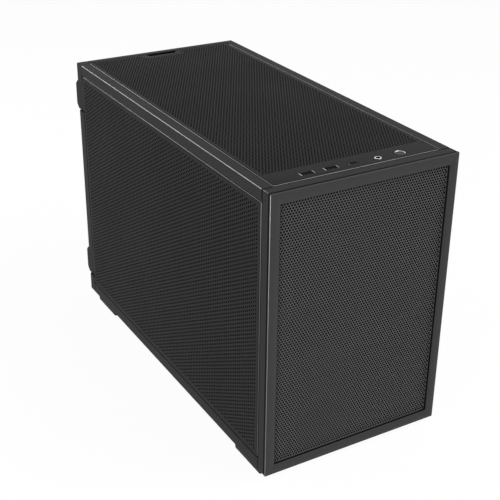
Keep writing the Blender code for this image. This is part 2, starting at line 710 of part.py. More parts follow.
def make_usb_port(name, place, size, corner, tongue, depth, shift):
    """Drawn metal shell, with the moulded block and tongue inside it."""
    half = [length / 2 for length in size]
    bore = [length - USB_WALL for length in half]
    room = [length - SEAT_GAP for length in bore]
    form = bmesh.new()
    rounded_block(form, (place - half[0], PORT_Y - half[1], PORT_SEAT), (place + half[0], PORT_Y + half[1], TOP),
                  corner)
    shell = to_object(form, name + "_shell", ZINC)
    hollow = bmesh.new()
    rounded_block(hollow, (place - bore[0], PORT_Y - bore[1], PORT_SEAT - SHEET),
                  (place + bore[0], PORT_Y + bore[1], TOP + SHEET), corner - USB_WALL)
    cut(shell, hollow)
    form = bmesh.new()
    rounded_block(form, (place - room[0], PORT_Y - room[1], PORT_SEAT),
                  (place + room[0], PORT_Y + room[1], TOP - depth), corner - USB_WALL - SEAT_GAP)
    insert = to_object(form, name + "_insert", PLASTIC)
    blade = bmesh.new()
    block(blade, (place - tongue[0] / 2, PORT_Y + shift - tongue[1] / 2, TOP - depth - SHEET),
          (place + tongue[0] / 2, PORT_Y + shift + tongue[1] / 2, TOP - TONGUE_DROP))
    join(insert, blade)


def make_audio_jack():
    form = bmesh.new()
    half = JACK_BODY / 2
    shoulder = TOP - JACK_SHOULDER
    block(form, (JACK_PLACE - half, PORT_Y - half, PORT_SEAT), (JACK_PLACE + half, PORT_Y + half, shoulder))
    jack = to_object(form, "audio_jack", PLASTIC)
    collar = bmesh.new()
    bar(collar, (JACK_PLACE, PORT_Y, shoulder - SHEET), (0, 0, 1), JACK_SHOULDER + SHEET, JACK_COLLAR, 20)
    join(jack, collar)
    bore = bmesh.new()
    bar(bore, (JACK_PLACE, PORT_Y, TOP - JACK_DEPTH), (0, 0, 1), JACK_DEPTH + SHEET, JACK_BORE, 20)
    cut(jack, bore)


def make_power_button():
    """Button cap in its guide, over the small switch on the board."""
    form = bmesh.new()
    half = SWITCH_SIZE / 2
    top = PORT_SEAT + SWITCH_HEIGHT
    block(form, (BUTTON_PLACE - half, PORT_Y - half, PORT_SEAT), (BUTTON_PLACE + half, PORT_Y + half, top))
    switch = to_object(form, "power_switch", PLASTIC)
    plunger = bmesh.new()
    bar(plunger, (BUTTON_PLACE, PORT_Y, top - SHEET), (0, 0, 1), SHEET + SWITCH_PLUNGER_HEIGHT,
        SWITCH_PLUNGER, 12)
    join(switch, plunger)
    stem_end = SWITCH_HEIGHT + SWITCH_PLUNGER_HEIGHT + BUTTON_TRAVEL + SEAT_GAP
    neck = SWITCH_HEIGHT + SWITCH_PLUNGER_HEIGHT + SEAT_GAP
    bore = BUTTON_STEM + SEAT_GAP
    collar = neck + GUIDE_WALL + GUIDE_COLLAR_HEIGHT
    profile = [
        (bore, collar),
        (bore + GUIDE_WALL, collar),
        (bore + GUIDE_WALL, neck + GUIDE_WALL),
        (GUIDE_RADIUS, neck + GUIDE_WALL),
        (GUIDE_RADIUS, 0.0),
        (GUIDE_RADIUS - GUIDE_WALL, 0.0),
        (GUIDE_RADIUS - GUIDE_WALL, neck),
        (bore, neck),
    ]
    turned("button_guide", profile, (BUTTON_PLACE, PORT_Y, PORT_SEAT), (0, 0, 1), 16, PLASTIC)
    length = TOP - PORT_SEAT - stem_end
    under = length - SHEET - SEAT_GAP
    dish = BUTTON_RADIUS - BUTTON_RIM
    profile = [
        (0.0, length - BUTTON_DISH),
        (dish * 0.6, length - BUTTON_DISH * 0.7),
        (dish, length),
        (BUTTON_RADIUS - PORT_CLEARANCE, length),
        (BUTTON_RADIUS, length - PORT_CLEARANCE),
        (BUTTON_RADIUS, under),
        (BUTTON_FLANGE, under),
        (BUTTON_FLANGE, under - BUTTON_FLANGE_HEIGHT),
        (BUTTON_STEM, under - BUTTON_FLANGE_HEIGHT),
        (BUTTON_STEM, 0.0),
        (0.0, 0.0),
    ]
    turned("power_button", profile, (BUTTON_PLACE, PORT_Y, PORT_SEAT + stem_end), (0, 0, 1), 24, PLASTIC)


def make_feet():
    for end, start in (("front", FRONT + FOOT_END), ("rear", REAR - FOOT_END - FOOT_LENGTH)):
        for name, side in SIDES.items():
            form = bmesh.new()
            outer = side * (SIDE - FOOT_INSET)
            inner = side * (SIDE - FOOT_INSET - FOOT_WIDTH)
            corners = block(form, (min(outer, inner), start, 0.0),
                            (max(outer, inner), start + FOOT_LENGTH, BASE - SEAT_GAP))
            middle = Vector(((outer + inner) / 2, start + FOOT_LENGTH / 2, 0.0))
            for corner in corners:
                if corner.co.z < BASE / 2:
                    corner.co.x -= math.copysign(FOOT_SLOPE / 2, corner.co.x - middle.x)
                    corner.co.y -= math.copysign(FOOT_SLOPE, corner.co.y - middle.y)
            to_object(form, f"foot_{end}_{name}", RUBBER)


def make_front_panel():
    """Plate bezel with a perforated sheet behind its window."""
    form = bmesh.new()
    block(form, (-SIDE, FRONT, BASE), (SIDE, FRONT + BEZEL_THICKNESS, TOP))
    edges = [edge for edge in form.edges if all(vertex.co.y < FRONT + SHEET for vertex in edge.verts)]
    bmesh.ops.bevel(form, geom=edges, offset=BEZEL_EDGE, segments=2, profile=0.5, affect="EDGES")
    bezel = to_object(form, "front_bezel", TRIM)
    window = bmesh.new()
    block(window, (-SIDE + BEZEL_SIDE, FRONT - SHEET, BASE + BEZEL_END),
          (SIDE - BEZEL_SIDE, FRONT + BEZEL_THICKNESS + SHEET, TOP - BEZEL_END))
    cut(bezel, window)
    half_width = SIDE - BEZEL_SIDE + MESH_OVERLAP
    low = BASE + BEZEL_END - MESH_OVERLAP
    high = TOP - BEZEL_END + MESH_OVERLAP
    front = FRONT + BEZEL_THICKNESS + SEAT_GAP
    form = bmesh.new()
    block(form, (-half_width, front, low), (half_width, front + SHEET, high))
    mesh = to_object(form, "front_mesh", TRIM)
    holes = bmesh.new()
    margin = HOLE_MARGIN + MESH_OVERLAP
    for u, v in lattice(2 * half_width, high - low, FRONT_HOLE_PITCH, FRONT_HOLE_RADIUS, margin):
        bar(holes, (u, front - SHEET, (low + high) / 2 + v), (0, 1, 0), 3 * SHEET, FRONT_HOLE_RADIUS,
            HOLE_SIDES)
    cut(mesh, holes)


def make_top_panel():
    """Perforated pan with the port cut-outs at the front and a finger notch at the rear."""
    panel = pan("top_panel", (-TOP_PANEL_SIDE, PANEL_FRONT, TOP - PAN_DEPTH),
                (TOP_PANEL_SIDE, TOP_PANEL_REAR, TOP), (0, 0, -1), PANEL)
    holes = bmesh.new()
    field_front = FRONT + ROOF_SETBACK
    field_rear = TOP_PANEL_REAR - NOTCH_DEPTH
    for u, v in lattice(field_rear - field_front, 2 * TOP_PANEL_SIDE, HOLE_PITCH, HOLE_RADIUS, HOLE_MARGIN):
        bar(holes, (v, (field_front + field_rear) / 2 + u, TOP - 2 * SHEET), (0, 0, 1), 3 * SHEET,
            HOLE_RADIUS, HOLE_SIDES)
    ports = [(place, USB_A_SIZE, USB_A_CORNER, PORT_CLEARANCE) for place in USB_A_PLACES]
    ports.append((USB_C_PLACE, USB_C_SIZE, USB_C_CORNER, USB_C_CLEARANCE))
    for place, size, corner, gap in ports:
        reach = [length / 2 + gap for length in size]
        rounded_block(holes, (place - reach[0], PORT_Y - reach[1], TOP - 2 * SHEET),
                      (place + reach[0], PORT_Y + reach[1], TOP + SHEET), corner + gap)
    for place, radius in ((JACK_PLACE, JACK_COLLAR), (BUTTON_PLACE, BUTTON_RADIUS)):
        bar(holes, (place, PORT_Y, TOP - 2 * SHEET), (0, 0, 1), 3 * SHEET, radius + PORT_CLEARANCE, 24)
    corners = block(holes, (-NOTCH_WIDTH / 2, TOP_PANEL_REAR - NOTCH_DEPTH, TOP - 2 * PAN_DEPTH),
                    (NOTCH_WIDTH / 2, TOP_PANEL_REAR + SHEET, TOP + SHEET))
    for corner in corners:
        if corner.co.y < TOP_PANEL_REAR - SHEET:
            corner.co.x -= math.copysign(NOTCH_TAPER, corner.co.x)
    cut(panel, holes)


def tab_heights():
    return (BASE + TAB_CENTRE, TOP - TAB_CENTRE)


def make_side_panel(name, side):
    """Perforated pan with two pull tabs that reach out through notches in the rear wall."""
    outer = side * SIDE
    inner = side * (SIDE - PAN_DEPTH)
    panel = pan(f"{name}_side_panel", (min(outer, inner), PANEL_FRONT, PANEL_LOW),
                (max(outer, inner), PANEL_REAR, PANEL_HIGH), (-side, 0, 0), PANEL)
    for z in tab_heights():
        form = bmesh.new()
        faces = sorted((side * (SIDE - TAB_INSET), side * (SIDE - TAB_INSET - SHEET)))
        block(form, (faces[0], PANEL_REAR - HALF, z - TAB_HEIGHT / 2),
              (faces[1], REAR + TAB_REACH, z + TAB_HEIGHT / 2))
        ends = [edge for edge in form.edges if all(vertex.co.y > REAR for vertex in edge.verts)
                and abs((edge.verts[0].co - edge.verts[1].co).x) > HALF]
        bmesh.ops.bevel(form, geom=ends, offset=TAB_BEVEL, segments=1, affect="EDGES")
        join(panel, form)
    holes = bmesh.new()
    width = PANEL_REAR - PANEL_FRONT
    height = PANEL_HIGH - PANEL_LOW
    for u, v in lattice(width, height, HOLE_PITCH, HOLE_RADIUS, HOLE_MARGIN):
        y = (PANEL_FRONT + PANEL_REAR) / 2 + u
        z = (PANEL_LOW + PANEL_HIGH) / 2 + v
        bar(holes, (side * (SIDE - 2 * SHEET), y, z), (side, 0, 0), 3 * SHEET, HOLE_RADIUS, HOLE_SIDES)
    cut(panel, holes)


def front_stud_places():
    for side in (-1, 1):
        for z in (BASE + STUD_END, TOP - STUD_END):
            yield side * FRONT_STUD_SIDE, z


def top_stud_places():
    for side in (-1, 1):
        for y in (PANEL_FRONT + STUD_END, PANEL_REAR - STUD_END):
            yield side * (TOP_PANEL_SIDE - STUD_EDGE), y


def side_stud_places(top):
    z = PANEL_HIGH - STUD_EDGE if top else PANEL_LOW + STUD_EDGE
    for y in (PANEL_FRONT + STUD_END, PANEL_REAR - STUD_END):
        yield y, z


def make_stud(name, start, axis, reach):
    """Ball stud that stands on a panel and snaps through a hole in the chassis behind it."""
    ball = reach + STUD_BALL
    profile = [(0.0, ball + STUD_BALL)]
    for step in range(1, 4):
        angle = math.radians(45 * step)
        profile.append((STUD_BALL * math.sin(angle), ball + STUD_BALL * math.cos(angle)))
    profile += [
        (STUD_NECK, reach),
        (STUD_NECK, STUD_BASE_HEIGHT),
        (STUD_BASE, STUD_BASE_HEIGHT),
        (STUD_BASE, 0.0),
        (0.0, 0.0),
    ]
    turned(name, profile, start, axis, STUD_SIDES, ZINC)


def make_studs():
    """Four studs on each lift-off panel, those of the front panel on its perforated sheet."""
    start = FRONT + BEZEL_THICKNESS + 2 * SEAT_GAP + SHEET
    for index, (x, z) in enumerate(front_stud_places(), 1):
        make_stud(f"front_stud_{index}", (x, start, z), (0, 1, 0), FRAME_BACK - start)
    start = TOP - SHEET - SEAT_GAP
    reach = start - (TOP - LEDGE_DROP - SHEET)
    for index, (x, y) in enumerate(top_stud_places(), 1):
        make_stud(f"top_stud_{index}", (x, y, start), (0, 0, -1), reach)
    places = list(side_stud_places(top=False)) + list(side_stud_places(top=True))
    for name, side in SIDES.items():
        for index, (y, z) in enumerate(places, 1):
            start = (side * (SIDE - SHEET - SEAT_GAP), y, z)
            make_stud(f"{name}_stud_{index}", start, (-side, 0, 0), reach)


def centre_origin(thing):
    """Moves the origin of a piece that was built in place to the middle of its box."""
    corners = [Vector(corner) for corner in thing.bound_box]
    middle = sum(corners, Vector()) / len(corners)
    thing.data.transform(Matrix.Translation(-middle))
    thing.location = middle


def carry(carrier, names):
    """Parents pieces to the piece that they move with."""
    bpy.context.view_layer.update()
    for name in names:
        rider = PARTS.objects[name]
        rider.parent = PARTS.objects[carrier]
        rider.matrix_parent_inverse = rider.parent.matrix_world.inverted()


clear_scene()
PARTS = collection("micro_atx_case")
TOOLS = collection("cutters")
STEEL = finish("powder coated chassis steel", (0.030, 0.030, 0.031), 0.55)
PANEL = finish("powder coated perforated steel", (0.032, 0.032, 0.033), 0.55)
TRIM = finish("powder coated front trim", (0.045, 0.045, 0.046), 0.50)
PLASTIC = finish("moulded black plastic", (0.015, 0.015, 0.016), 0.45)
RUBBER = finish("foot rubber", (0.012, 0.012, 0.012), 0.80)
ZINC = finish("plated steel", (0.55, 0.55, 0.56), 0.30, 1.0)
BOARD = finish("circuit board", (0.010, 0.035, 0.015), 0.50)

make_front_frame()
make_top_frame()
make_bottom_panel()
make_rear_panel()
make_motherboard_tray()
make_psu_bracket()
make_slot_covers()
make_slot_shield()
make_ac_inlet()
make_port_carrier()
for number, usb_place in enumerate(USB_A_PLACES, 1):
    make_usb_port(f"usb_a_{number}", usb_place, USB_A_SIZE, USB_A_CORNER, USB_A_TONGUE, USB_DEPTH,
                  USB_A_TONGUE[1] / 2)
make_usb_port("usb_c", USB_C_PLACE, USB_C_SIZE, USB_C_CORNER, USB_C_TONGUE, USB_DEPTH, 0.0)
make_audio_jack()
make_power_button()
make_feet()
make_front_panel()
make_top_panel()
for side_name, side_sign in SIDES.items():
    make_side_panel(side_name, side_sign)
make_studs()

bpy.context.view_layer.update()
for piece in PARTS.objects:
    if piece.matrix_world == Matrix.Identity(4):
        centre_origin(piece)
carry("front_bezel", ["front_mesh"] + [f"front_stud_{index}" for index in range(1, 5)])
carry("top_panel", [f"top_stud_{index}" for index in range(1, 5)])
for side_name in SIDES:
    carry(f"{side_name}_side_panel", [f"{side_name}_stud_{index}" for index in range(1, 5)])
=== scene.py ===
"""A compact micro ATX computer case, dressed for a picture from the front left."""
import math

import bmesh
import bpy
from mathutils import Matrix, Vector


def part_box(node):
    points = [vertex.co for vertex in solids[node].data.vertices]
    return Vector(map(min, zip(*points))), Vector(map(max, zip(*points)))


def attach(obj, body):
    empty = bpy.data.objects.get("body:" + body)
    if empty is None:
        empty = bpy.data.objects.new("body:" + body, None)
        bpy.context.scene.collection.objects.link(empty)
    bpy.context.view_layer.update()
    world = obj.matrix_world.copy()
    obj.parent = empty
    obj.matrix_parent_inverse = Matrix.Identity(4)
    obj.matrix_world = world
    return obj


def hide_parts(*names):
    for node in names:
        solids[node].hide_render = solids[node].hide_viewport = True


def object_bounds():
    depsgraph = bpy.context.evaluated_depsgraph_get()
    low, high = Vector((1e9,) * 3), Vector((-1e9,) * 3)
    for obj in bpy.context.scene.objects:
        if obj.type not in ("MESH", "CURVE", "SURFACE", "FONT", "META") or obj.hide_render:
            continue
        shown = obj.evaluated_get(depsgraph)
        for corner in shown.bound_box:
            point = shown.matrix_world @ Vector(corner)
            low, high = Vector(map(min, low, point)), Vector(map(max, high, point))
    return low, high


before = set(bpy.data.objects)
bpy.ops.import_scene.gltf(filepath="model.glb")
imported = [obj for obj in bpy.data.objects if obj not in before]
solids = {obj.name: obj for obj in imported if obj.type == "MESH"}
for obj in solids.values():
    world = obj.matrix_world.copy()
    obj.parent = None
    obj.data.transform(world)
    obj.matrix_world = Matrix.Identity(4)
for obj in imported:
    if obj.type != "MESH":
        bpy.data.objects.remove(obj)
cad_low, cad_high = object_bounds()
scene = bpy.context.scene
scene.view_settings.view_transform = "Standard"


# The camera stands in front of the case, to its left and above it, and is turned by a fraction
# of a degree as a hand-held one is. Its lens is a short telephoto.
camera_place = (-0.4764, -0.8256, 0.5956)
turn, lift, tilt = math.radians(-30.381), math.radians(26.687), math.radians(0.636)
backward = Vector((math.sin(turn) * math.cos(lift), -math.cos(turn) * math.cos(lift), math.sin(lift)))
level = Vector((math.cos(turn), math.sin(turn), 0.0))
upright = backward.cross(level)
across = level * math.cos(tilt) + upright * math.sin(tilt)
above = upright * math.cos(tilt) - level * math.sin(tilt)
camera = bpy.data.objects.new("camera", bpy.data.cameras.new("camera"))
camera.data.lens = 75.66
camera.data.sensor_width = 36.0
facing = Matrix((across, above, backward)).transposed().to_4x4()
camera.matrix_world = Matrix.Translation(camera_place) @ facing
scene.collection.objects.link(camera)
scene.camera = camera


# Chassis: front wall, roof, floor, rear wall and board tray, folded from 1 mm steel on a press
# brake, riveted together and powder coated charcoal. Its cut edges are dulled by the coating.
def linear(colour):
    """Turns a colour written as it looks on a screen into the linear values of a shader."""
    channels = [int(colour[start:start + 2], 16) / 255 for start in (1, 3, 5)]
    return [c / 12.92 if c <= 0.04045 else ((c + 0.055) / 1.055) ** 2.4 for c in channels] + [1.0]


def add(tree, kind, sockets=None, **settings):
    """Adds a node. A socket is set to a number or a colour, or linked to another's output."""
    node = tree.nodes.new(kind)
    for name, value in settings.items():
        setattr(node, name, value)
    for name, value in (sockets or {}).items():
        if isinstance(value, bpy.types.NodeSocket):
            tree.links.new(value, node.inputs[name])
        else:
            node.inputs[name].default_value = value
    return node


def new_finish(name, colour, roughness, metallic=0.0, specular=0.5):
    """Starts a material as one even colour and gloss, to which its grain and relief are added."""
    finish = bpy.data.materials.new(name)
    finish.use_nodes = True
    tree = finish.node_tree
    shader = tree.nodes["Principled BSDF"]
    shader.inputs["Base Color"].default_value = linear(colour)
    shader.inputs["Roughness"].default_value = roughness
    shader.inputs["Metallic"].default_value = metallic
    shader.inputs["Specular IOR Level"].default_value = specular
    return finish, tree, shader


def powder_coat(name, colour, lighter, roughness, specular):
    """Polyester powder baked on steel: near black and matt, with a fine peel that breaks its sheen.

    The real peel is about 0.3 mm from crest to crest. It is drawn at 0.9 mm, to show at all. A
    slow cloud under it keeps a broad panel from looking like one flat tone.
    """
    peel_size, peel_depth, peel_share, cloud_size, cloud_share = 0.0009, 0.00005, 0.6, 0.060, 0.4
    finish, tree, shader = new_finish(name, colour, roughness, specular=specular)
    place = add(tree, "ShaderNodeTexCoord").outputs["Object"]
    peel = add(tree, "ShaderNodeTexNoise", {"Vector": place, "Scale": 1 / peel_size, "Detail": 2.0})
    cloud = add(tree, "ShaderNodeTexNoise", {"Vector": place, "Scale": 1 / cloud_size, "Detail": 3.0})
    blend = add(tree, "ShaderNodeMath", {0: peel.outputs["Fac"], 1: peel_share}, operation="MULTIPLY")
    blend = add(tree, "ShaderNodeMath", {0: cloud.outputs["Fac"], 1: cloud_share, 2: blend.outputs[0]},
                operation="MULTIPLY_ADD")
    tint = add(tree, "ShaderNodeMix", {0: blend.outputs[0], 6: linear(colour), 7: linear(lighter)},
               data_type="RGBA")
    tree.links.new(tint.outputs[2], shader.inputs["Base Color"])
    sheen = add(tree, "ShaderNodeMapRange", {"Value": blend.outputs[0], "From Min": 0.35,
                                             "From Max": 0.65, "To Min": roughness - 0.05,
                                             "To Max": roughness + 0.06})
    tree.links.new(sheen.outputs[0], shader.inputs["Roughness"])
    relief = add(tree, "ShaderNodeBump", {"Height": peel.outputs["Fac"], "Strength": 0.3,
                                          "Distance": peel_depth})
    tree.links.new(relief.outputs[0], shader.inputs["Normal"])
    return finish


def dress(finish, *names, edge=0.0, edge_finish=None):
    """Gives solids that keep their shape their finish, and rounds their edges by a hair."""
    for name in names:
        solid = solids[name]
        solid.data.materials.clear()
        solid.data.materials.append(finish)
        if edge:
            weld = solid.modifiers.new("weld", "WELD")
            weld.merge_threshold = 0.000005
            bevel = solid.modifiers.new("edge", "BEVEL")
            bevel.width = edge
            bevel.segments = 2
            bevel.limit_method = "ANGLE"
            bevel.angle_limit = math.radians(25)
            bevel.use_clamp_overlap = False
            if edge_finish:
                solid.data.materials.append(edge_finish)
                bevel.material = 1


def patchy_metal(name, colour, lighter, front=-1.0, rear=1.0, aside=0.0, inner=0.0):
    """Metal in soft patches, for a plate, a painted highlight on an edge, or painted shade inside.

    On a fold the painted highlight shows only between a front and a rear end, and that far from the middle.
    Nearer to the middle only an inner share of it shows, and elsewhere the fold keeps the colour of the full
    coat.
    """
    full_coat, patch_size = "#1F1F1F", 0.012
    finish, tree, shader = new_finish(name, colour, 0.38, 1.0)
    place = add(tree, "ShaderNodeTexCoord").outputs["Object"]
    patches = add(tree, "ShaderNodeTexNoise", {"Vector": place, "Scale": 1 / patch_size, "Detail": 3.0})
    tint = add(tree, "ShaderNodeMix", {0: patches.outputs["Fac"], 6: linear(colour), 7: linear(lighter)},
               data_type="RGBA")
    x, y, z = add(tree, "ShaderNodeSeparateXYZ", {0: place}).outputs
    # The mask keeps the painted highlight to the chosen stretch of a fold.
    past = add(tree, "ShaderNodeMath", {0: y, 1: front}, operation="GREATER_THAN").outputs[0]
    before = add(tree, "ShaderNodeMath", {0: y, 1: rear}, operation="LESS_THAN").outputs[0]
    bright = add(tree, "ShaderNodeMath", {0: past, 1: before}, operation="MULTIPLY").outputs[0]
    away = add(tree, "ShaderNodeMath", {0: x}, operation="ABSOLUTE").outputs[0]
    away = add(tree, "ShaderNodeMath", {0: away, 1: aside}, operation="GREATER_THAN").outputs[0]
    away = add(tree, "ShaderNodeMath", {0: away, 1: inner}, operation="MAXIMUM").outputs[0]
    bright = add(tree, "ShaderNodeMath", {0: bright, 1: away}, operation="MULTIPLY").outputs[0]
    tint = add(tree, "ShaderNodeMix", {0: bright, 6: linear(full_coat), 7: tint.outputs[2]},
               data_type="RGBA")
    tree.links.new(tint.outputs[2], shader.inputs["Base Color"])
    return finish


# A fine light line is painted on the folds as a highlight, in a bright metal finish on their bevels. It shows
# on the outer edges of the roof's rails, and on a few millimetres of the front wall's.
rail_edge = 0.0920
sharp_fold_highlight = patchy_metal("painted highlight on a sharp fold", "#6E6E6E", "#9E9E9E", front=-0.1876,
                          aside=rail_edge, inner=0.25)
short_fold_highlight = patchy_metal("painted highlight on a short fold", "#6A6A6A", "#9A9A9A", front=-0.1979,
                          rear=-0.1891, aside=rail_edge)
# The full coat is near black and matt, and gives the eye only a soft grey sheen.
chassis_coat = powder_coat("charcoal powder coat on the chassis", "#1F1F1F", "#272727", 0.52, 0.06)
dress(chassis_coat, "top_frame", edge=0.00035, edge_finish=sharp_fold_highlight)
dress(chassis_coat, "front_frame", edge=0.00035, edge_finish=short_fold_highlight)
dress(chassis_coat, "bottom_panel", edge=0.00030)
dress(chassis_coat, "rear_panel", edge=0.00020)
dress(chassis_coat, "motherboard_tray", "psu_bracket", "port_shelf")


# Slot covers and their shield: stamped steel strips in the same coat. The covers hook in behind
# the rear wall, and the shield outside it is held by the two thumbscrews.
dress(chassis_coat, "slot_cover_1", "slot_cover_2", "slot_cover_3", "slot_cover_4", "slot_shield")


# Thumbscrews: turned from steel rod, nickel plated, with a knurled head and a crosswise slot. The
# two of them hold the slot shield to the rear wall.
def link(name, form):
    """Makes an object of a bmesh."""
    mesh = bpy.data.meshes.new(name)
    form.to_mesh(mesh)
    form.free()
    thing = bpy.data.objects.new(name, mesh)
    scene.collection.objects.link(thing)
    return thing


def plain(thing):
    """Turns an object and its modifiers into a plain mesh."""
    bpy.context.view_layer.update()
    mesh = bpy.data.meshes.new_from_object(thing.evaluated_get(bpy.context.evaluated_depsgraph_get()))
    thing.modifiers.clear()
    thing.data = mesh
    return thing


def turned(name, profile, sides, finish):
    """Turns a profile of radius and height round the Z axis, closed at both poles."""
    form = bmesh.new()
    points = [form.verts.new((radius, 0.0, height)) for radius, height in profile]
    for one, other in zip(points, points[1:]):
        form.edges.new((one, other))
    thing = link(name, form)
    lathe = thing.modifiers.new("lathe", "SCREW")
    lathe.steps = sides
    lathe.render_steps = sides
    lathe.use_merge_vertices = True
    lathe.merge_threshold = 0.000001
    lathe.use_normal_calculate = True
    lathe.use_smooth_shade = True
    plain(thing)
    form = bmesh.new()
    form.from_mesh(thing.data)
    bmesh.ops.remove_doubles(form, verts=form.verts, dist=0.000001)
    bmesh.ops.recalc_face_normals(form, faces=form.faces)
    form.to_mesh(thing.data)
    form.free()
    thing.data.materials.clear()
    thing.data.materials.append(finish)
    thing.data.set_sharp_from_angle(angle=math.radians(32))
    return thing


def cut(thing, form):
    """Cuts the shape of a bmesh out of an object."""
    tool = link("tool", form)
    step = thing.modifiers.new("cut", "BOOLEAN")
    step.operation = "DIFFERENCE"
    step.solver = "EXACT"
    step.object = tool
    plain(thing)
    bpy.data.objects.remove(tool)


def block(form, low, high):
    """Adds a box between two corners to a bmesh."""
    place = Matrix.Translation((Vector(low) + Vector(high)) / 2)
    size = Matrix.Diagonal((*(Vector(high) - Vector(low)), 1.0))
    bmesh.ops.create_cube(form, size=1.0, matrix=place @ size)


def slotted(screw, half_width, half_depth, top, deep):
    """Mills a straight slot into the head of a screw."""
    mill = bmesh.new()
    block(mill, (-half_width, -half_depth, top - deep), (half_width, half_depth, top + deep))
    cut(screw, mill)


def shape_tree(name, inputs, output):
    """Starts a node tree that makes one shape of its inputs, each of a kind and a name."""
    tree = bpy.data.node_groups.new(name, "GeometryNodeTree")
    for kind, label in inputs:
        tree.interface.new_socket(label, in_out="INPUT", socket_type="NodeSocket" + kind)
    tree.interface.new_socket(output, in_out="OUTPUT", socket_type="NodeSocketGeometry")
    return tree, add(tree, "NodeGroupInput").outputs


def setting_out_tree():
    """Repeats the piece that it is given on a grid of columns and rows, starting at the origin."""
    tree, given = shape_tree("set out on a grid", (
        ("Geometry", "Piece"), ("Int", "Columns"), ("Int", "Rows"), ("Float", "Column Step"),
        ("Float", "Row Step"), ("Material", "Finish")), "Pieces")
    aside = add(tree, "ShaderNodeCombineXYZ", {0: given["Column Step"]}).outputs[0]
    along = add(tree, "ShaderNodeCombineXYZ", {1: given["Row Step"]}).outputs[0]
    columns = add(tree, "GeometryNodeMeshLine", {"Count": given["Columns"], "Offset": aside}).outputs[0]
    rows = add(tree, "GeometryNodeMeshLine", {"Count": given["Rows"], "Offset": along}).outputs[0]
    spots = add(tree, "GeometryNodeInstanceOnPoints", {"Points": columns, "Instance": rows}).outputs[0]
    spots = add(tree, "GeometryNodeRealizeInstances", {0: spots}).outputs[0]
    pieces = add(tree, "GeometryNodeInstanceOnPoints", {"Points": spots, "Instance": given["Piece"]})
    pieces = add(tree, "GeometryNodeRealizeInstances", {0: pieces.outputs[0]}).outputs[0]
    pieces = add(tree, "GeometryNodeSetMaterial", {"Geometry": pieces, "Material": given["Finish"]})
    add(tree, "NodeGroupOutput", {0: pieces.outputs[0]})
    return tree


def fed(thing, tree, values):
    """Runs a node tree over an object with its inputs set, and keeps the plain mesh."""
    step = thing.modifiers.new(tree.name, "NODES")
    step.node_group = tree
    for item in tree.interface.items_tree:
        if item.name in values and item.in_out == "INPUT":
            step[item.identifier] = values[item.name]
    return plain(thing)


setting_out = setting_out_tree()


def set_out(thing, columns, column_step, rows, row_step):
    """Sets out copies of a piece in columns and rows, all of its own finish."""
    finish = thing.data.materials[0]
    fed(thing, setting_out, {"Columns": columns, "Rows": rows, "Column Step": column_step,
                             "Row Step": row_step, "Finish": finish})


def point_rearwards(thing, low, high):
    """Turns what was built upright to point rearwards, and sets it in its solid's box."""
    thing.data.transform(Matrix(((1, 0, 0, (low.x + high.x) / 2), (0, 0, 1, low.y),
                                 (0, -1, 0, (low.z + high.z) / 2), (0, 0, 0, 1))))


def grained(tree, shader, size, detail, glossy, dull):
    """Lays a grain of that size over a finish, whose gloss wanders with it between two values."""
    place = add(tree, "ShaderNodeTexCoord").outputs["Object"]
    grain = add(tree, "ShaderNodeTexNoise", {"Vector": place, "Scale": 1 / size, "Detail": detail})
    gloss = add(tree, "ShaderNodeMapRange", {"Value": grain.outputs["Fac"], "To Min": glossy,
                                             "To Max": dull})
    tree.links.new(gloss.outputs[0], shader.inputs["Roughness"])
    return grain.outputs["Fac"]


# Nickel over steel: bright and slightly warm, with fine tool marks that soften what it mirrors.
nickel, tree, shader = new_finish("bright nickel plate", "#C9C6C0", 0.28, 1.0)
grained(tree, shader, size=0.0006, detail=3.0, glossy=0.18, dull=0.38)

low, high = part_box("slot_thumbscrew_1")
other_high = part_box("slot_thumbscrew_2")[1]
head, shank, length, point, knurls = 0.0038, 0.0015, high.y - low.y, 0.0004, 48
under_head = length - 0.0036
thumbscrews = turned("thumbscrews", [(0.0, length), (head - 0.0006, length), (head - 0.0002, length - 0.0002),
                                     (head, length - 0.0006), (head, under_head + 0.0005),
                                     (head - 0.0004, under_head), (shank, under_head),
                                     (shank, point), (shank - point, 0.0), (0.0, 0.0)], knurls, nickel)
# Every other corner of the head is pressed in by the knurling wheel.
for corner in thumbscrews.data.vertices:
    if Vector(corner.co.xy).length > head - 0.0001:
        angle = math.atan2(corner.co.y, corner.co.x)
        if round(angle / math.tau * knurls) % 2:
            corner.co.xy *= 0.94
slotted(thumbscrews, 0.0030, 0.0004, length, 0.0010)
set_out(thumbscrews, 1, 0.0, 2, high.z - other_high.z)
point_rearwards(thumbscrews, low, high)
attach(thumbscrews, "chassis")
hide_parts("slot_thumbscrew_1", "slot_thumbscrew_2")


# Mains inlet: a moulded socket in the rear wall, with three plated blades in its mouth. Two
# screws with a crosswise recess hold it by its flange.
moulded, tree, shader = new_finish("fine-grained black moulding", "#131314", 0.42, specular=0.04)
# Black polyamide from a spark-eroded mould: soft sheen over a very fine grain.
grain = grained(tree, shader, size=0.0005, detail=2.0, glossy=0.34, dull=0.50)
tint = add(tree, "ShaderNodeMix", {0: grain, 6: linear("#101011"), 7: linear("#19191A")}, data_type="RGBA")
tree.links.new(tint.outputs[2], shader.inputs["Base Color"])
relief = add(tree, "ShaderNodeBump", {"Height": grain, "Strength": 0.4, "Distance": 0.00003})
tree.links.new(relief.outputs[0], shader.inputs["Normal"])
dress(moulded, "ac_inlet", edge=0.0003)
dress(nickel, "inlet_blade_earth", "inlet_blade_line", "inlet_blade_neutral", edge=0.0003)

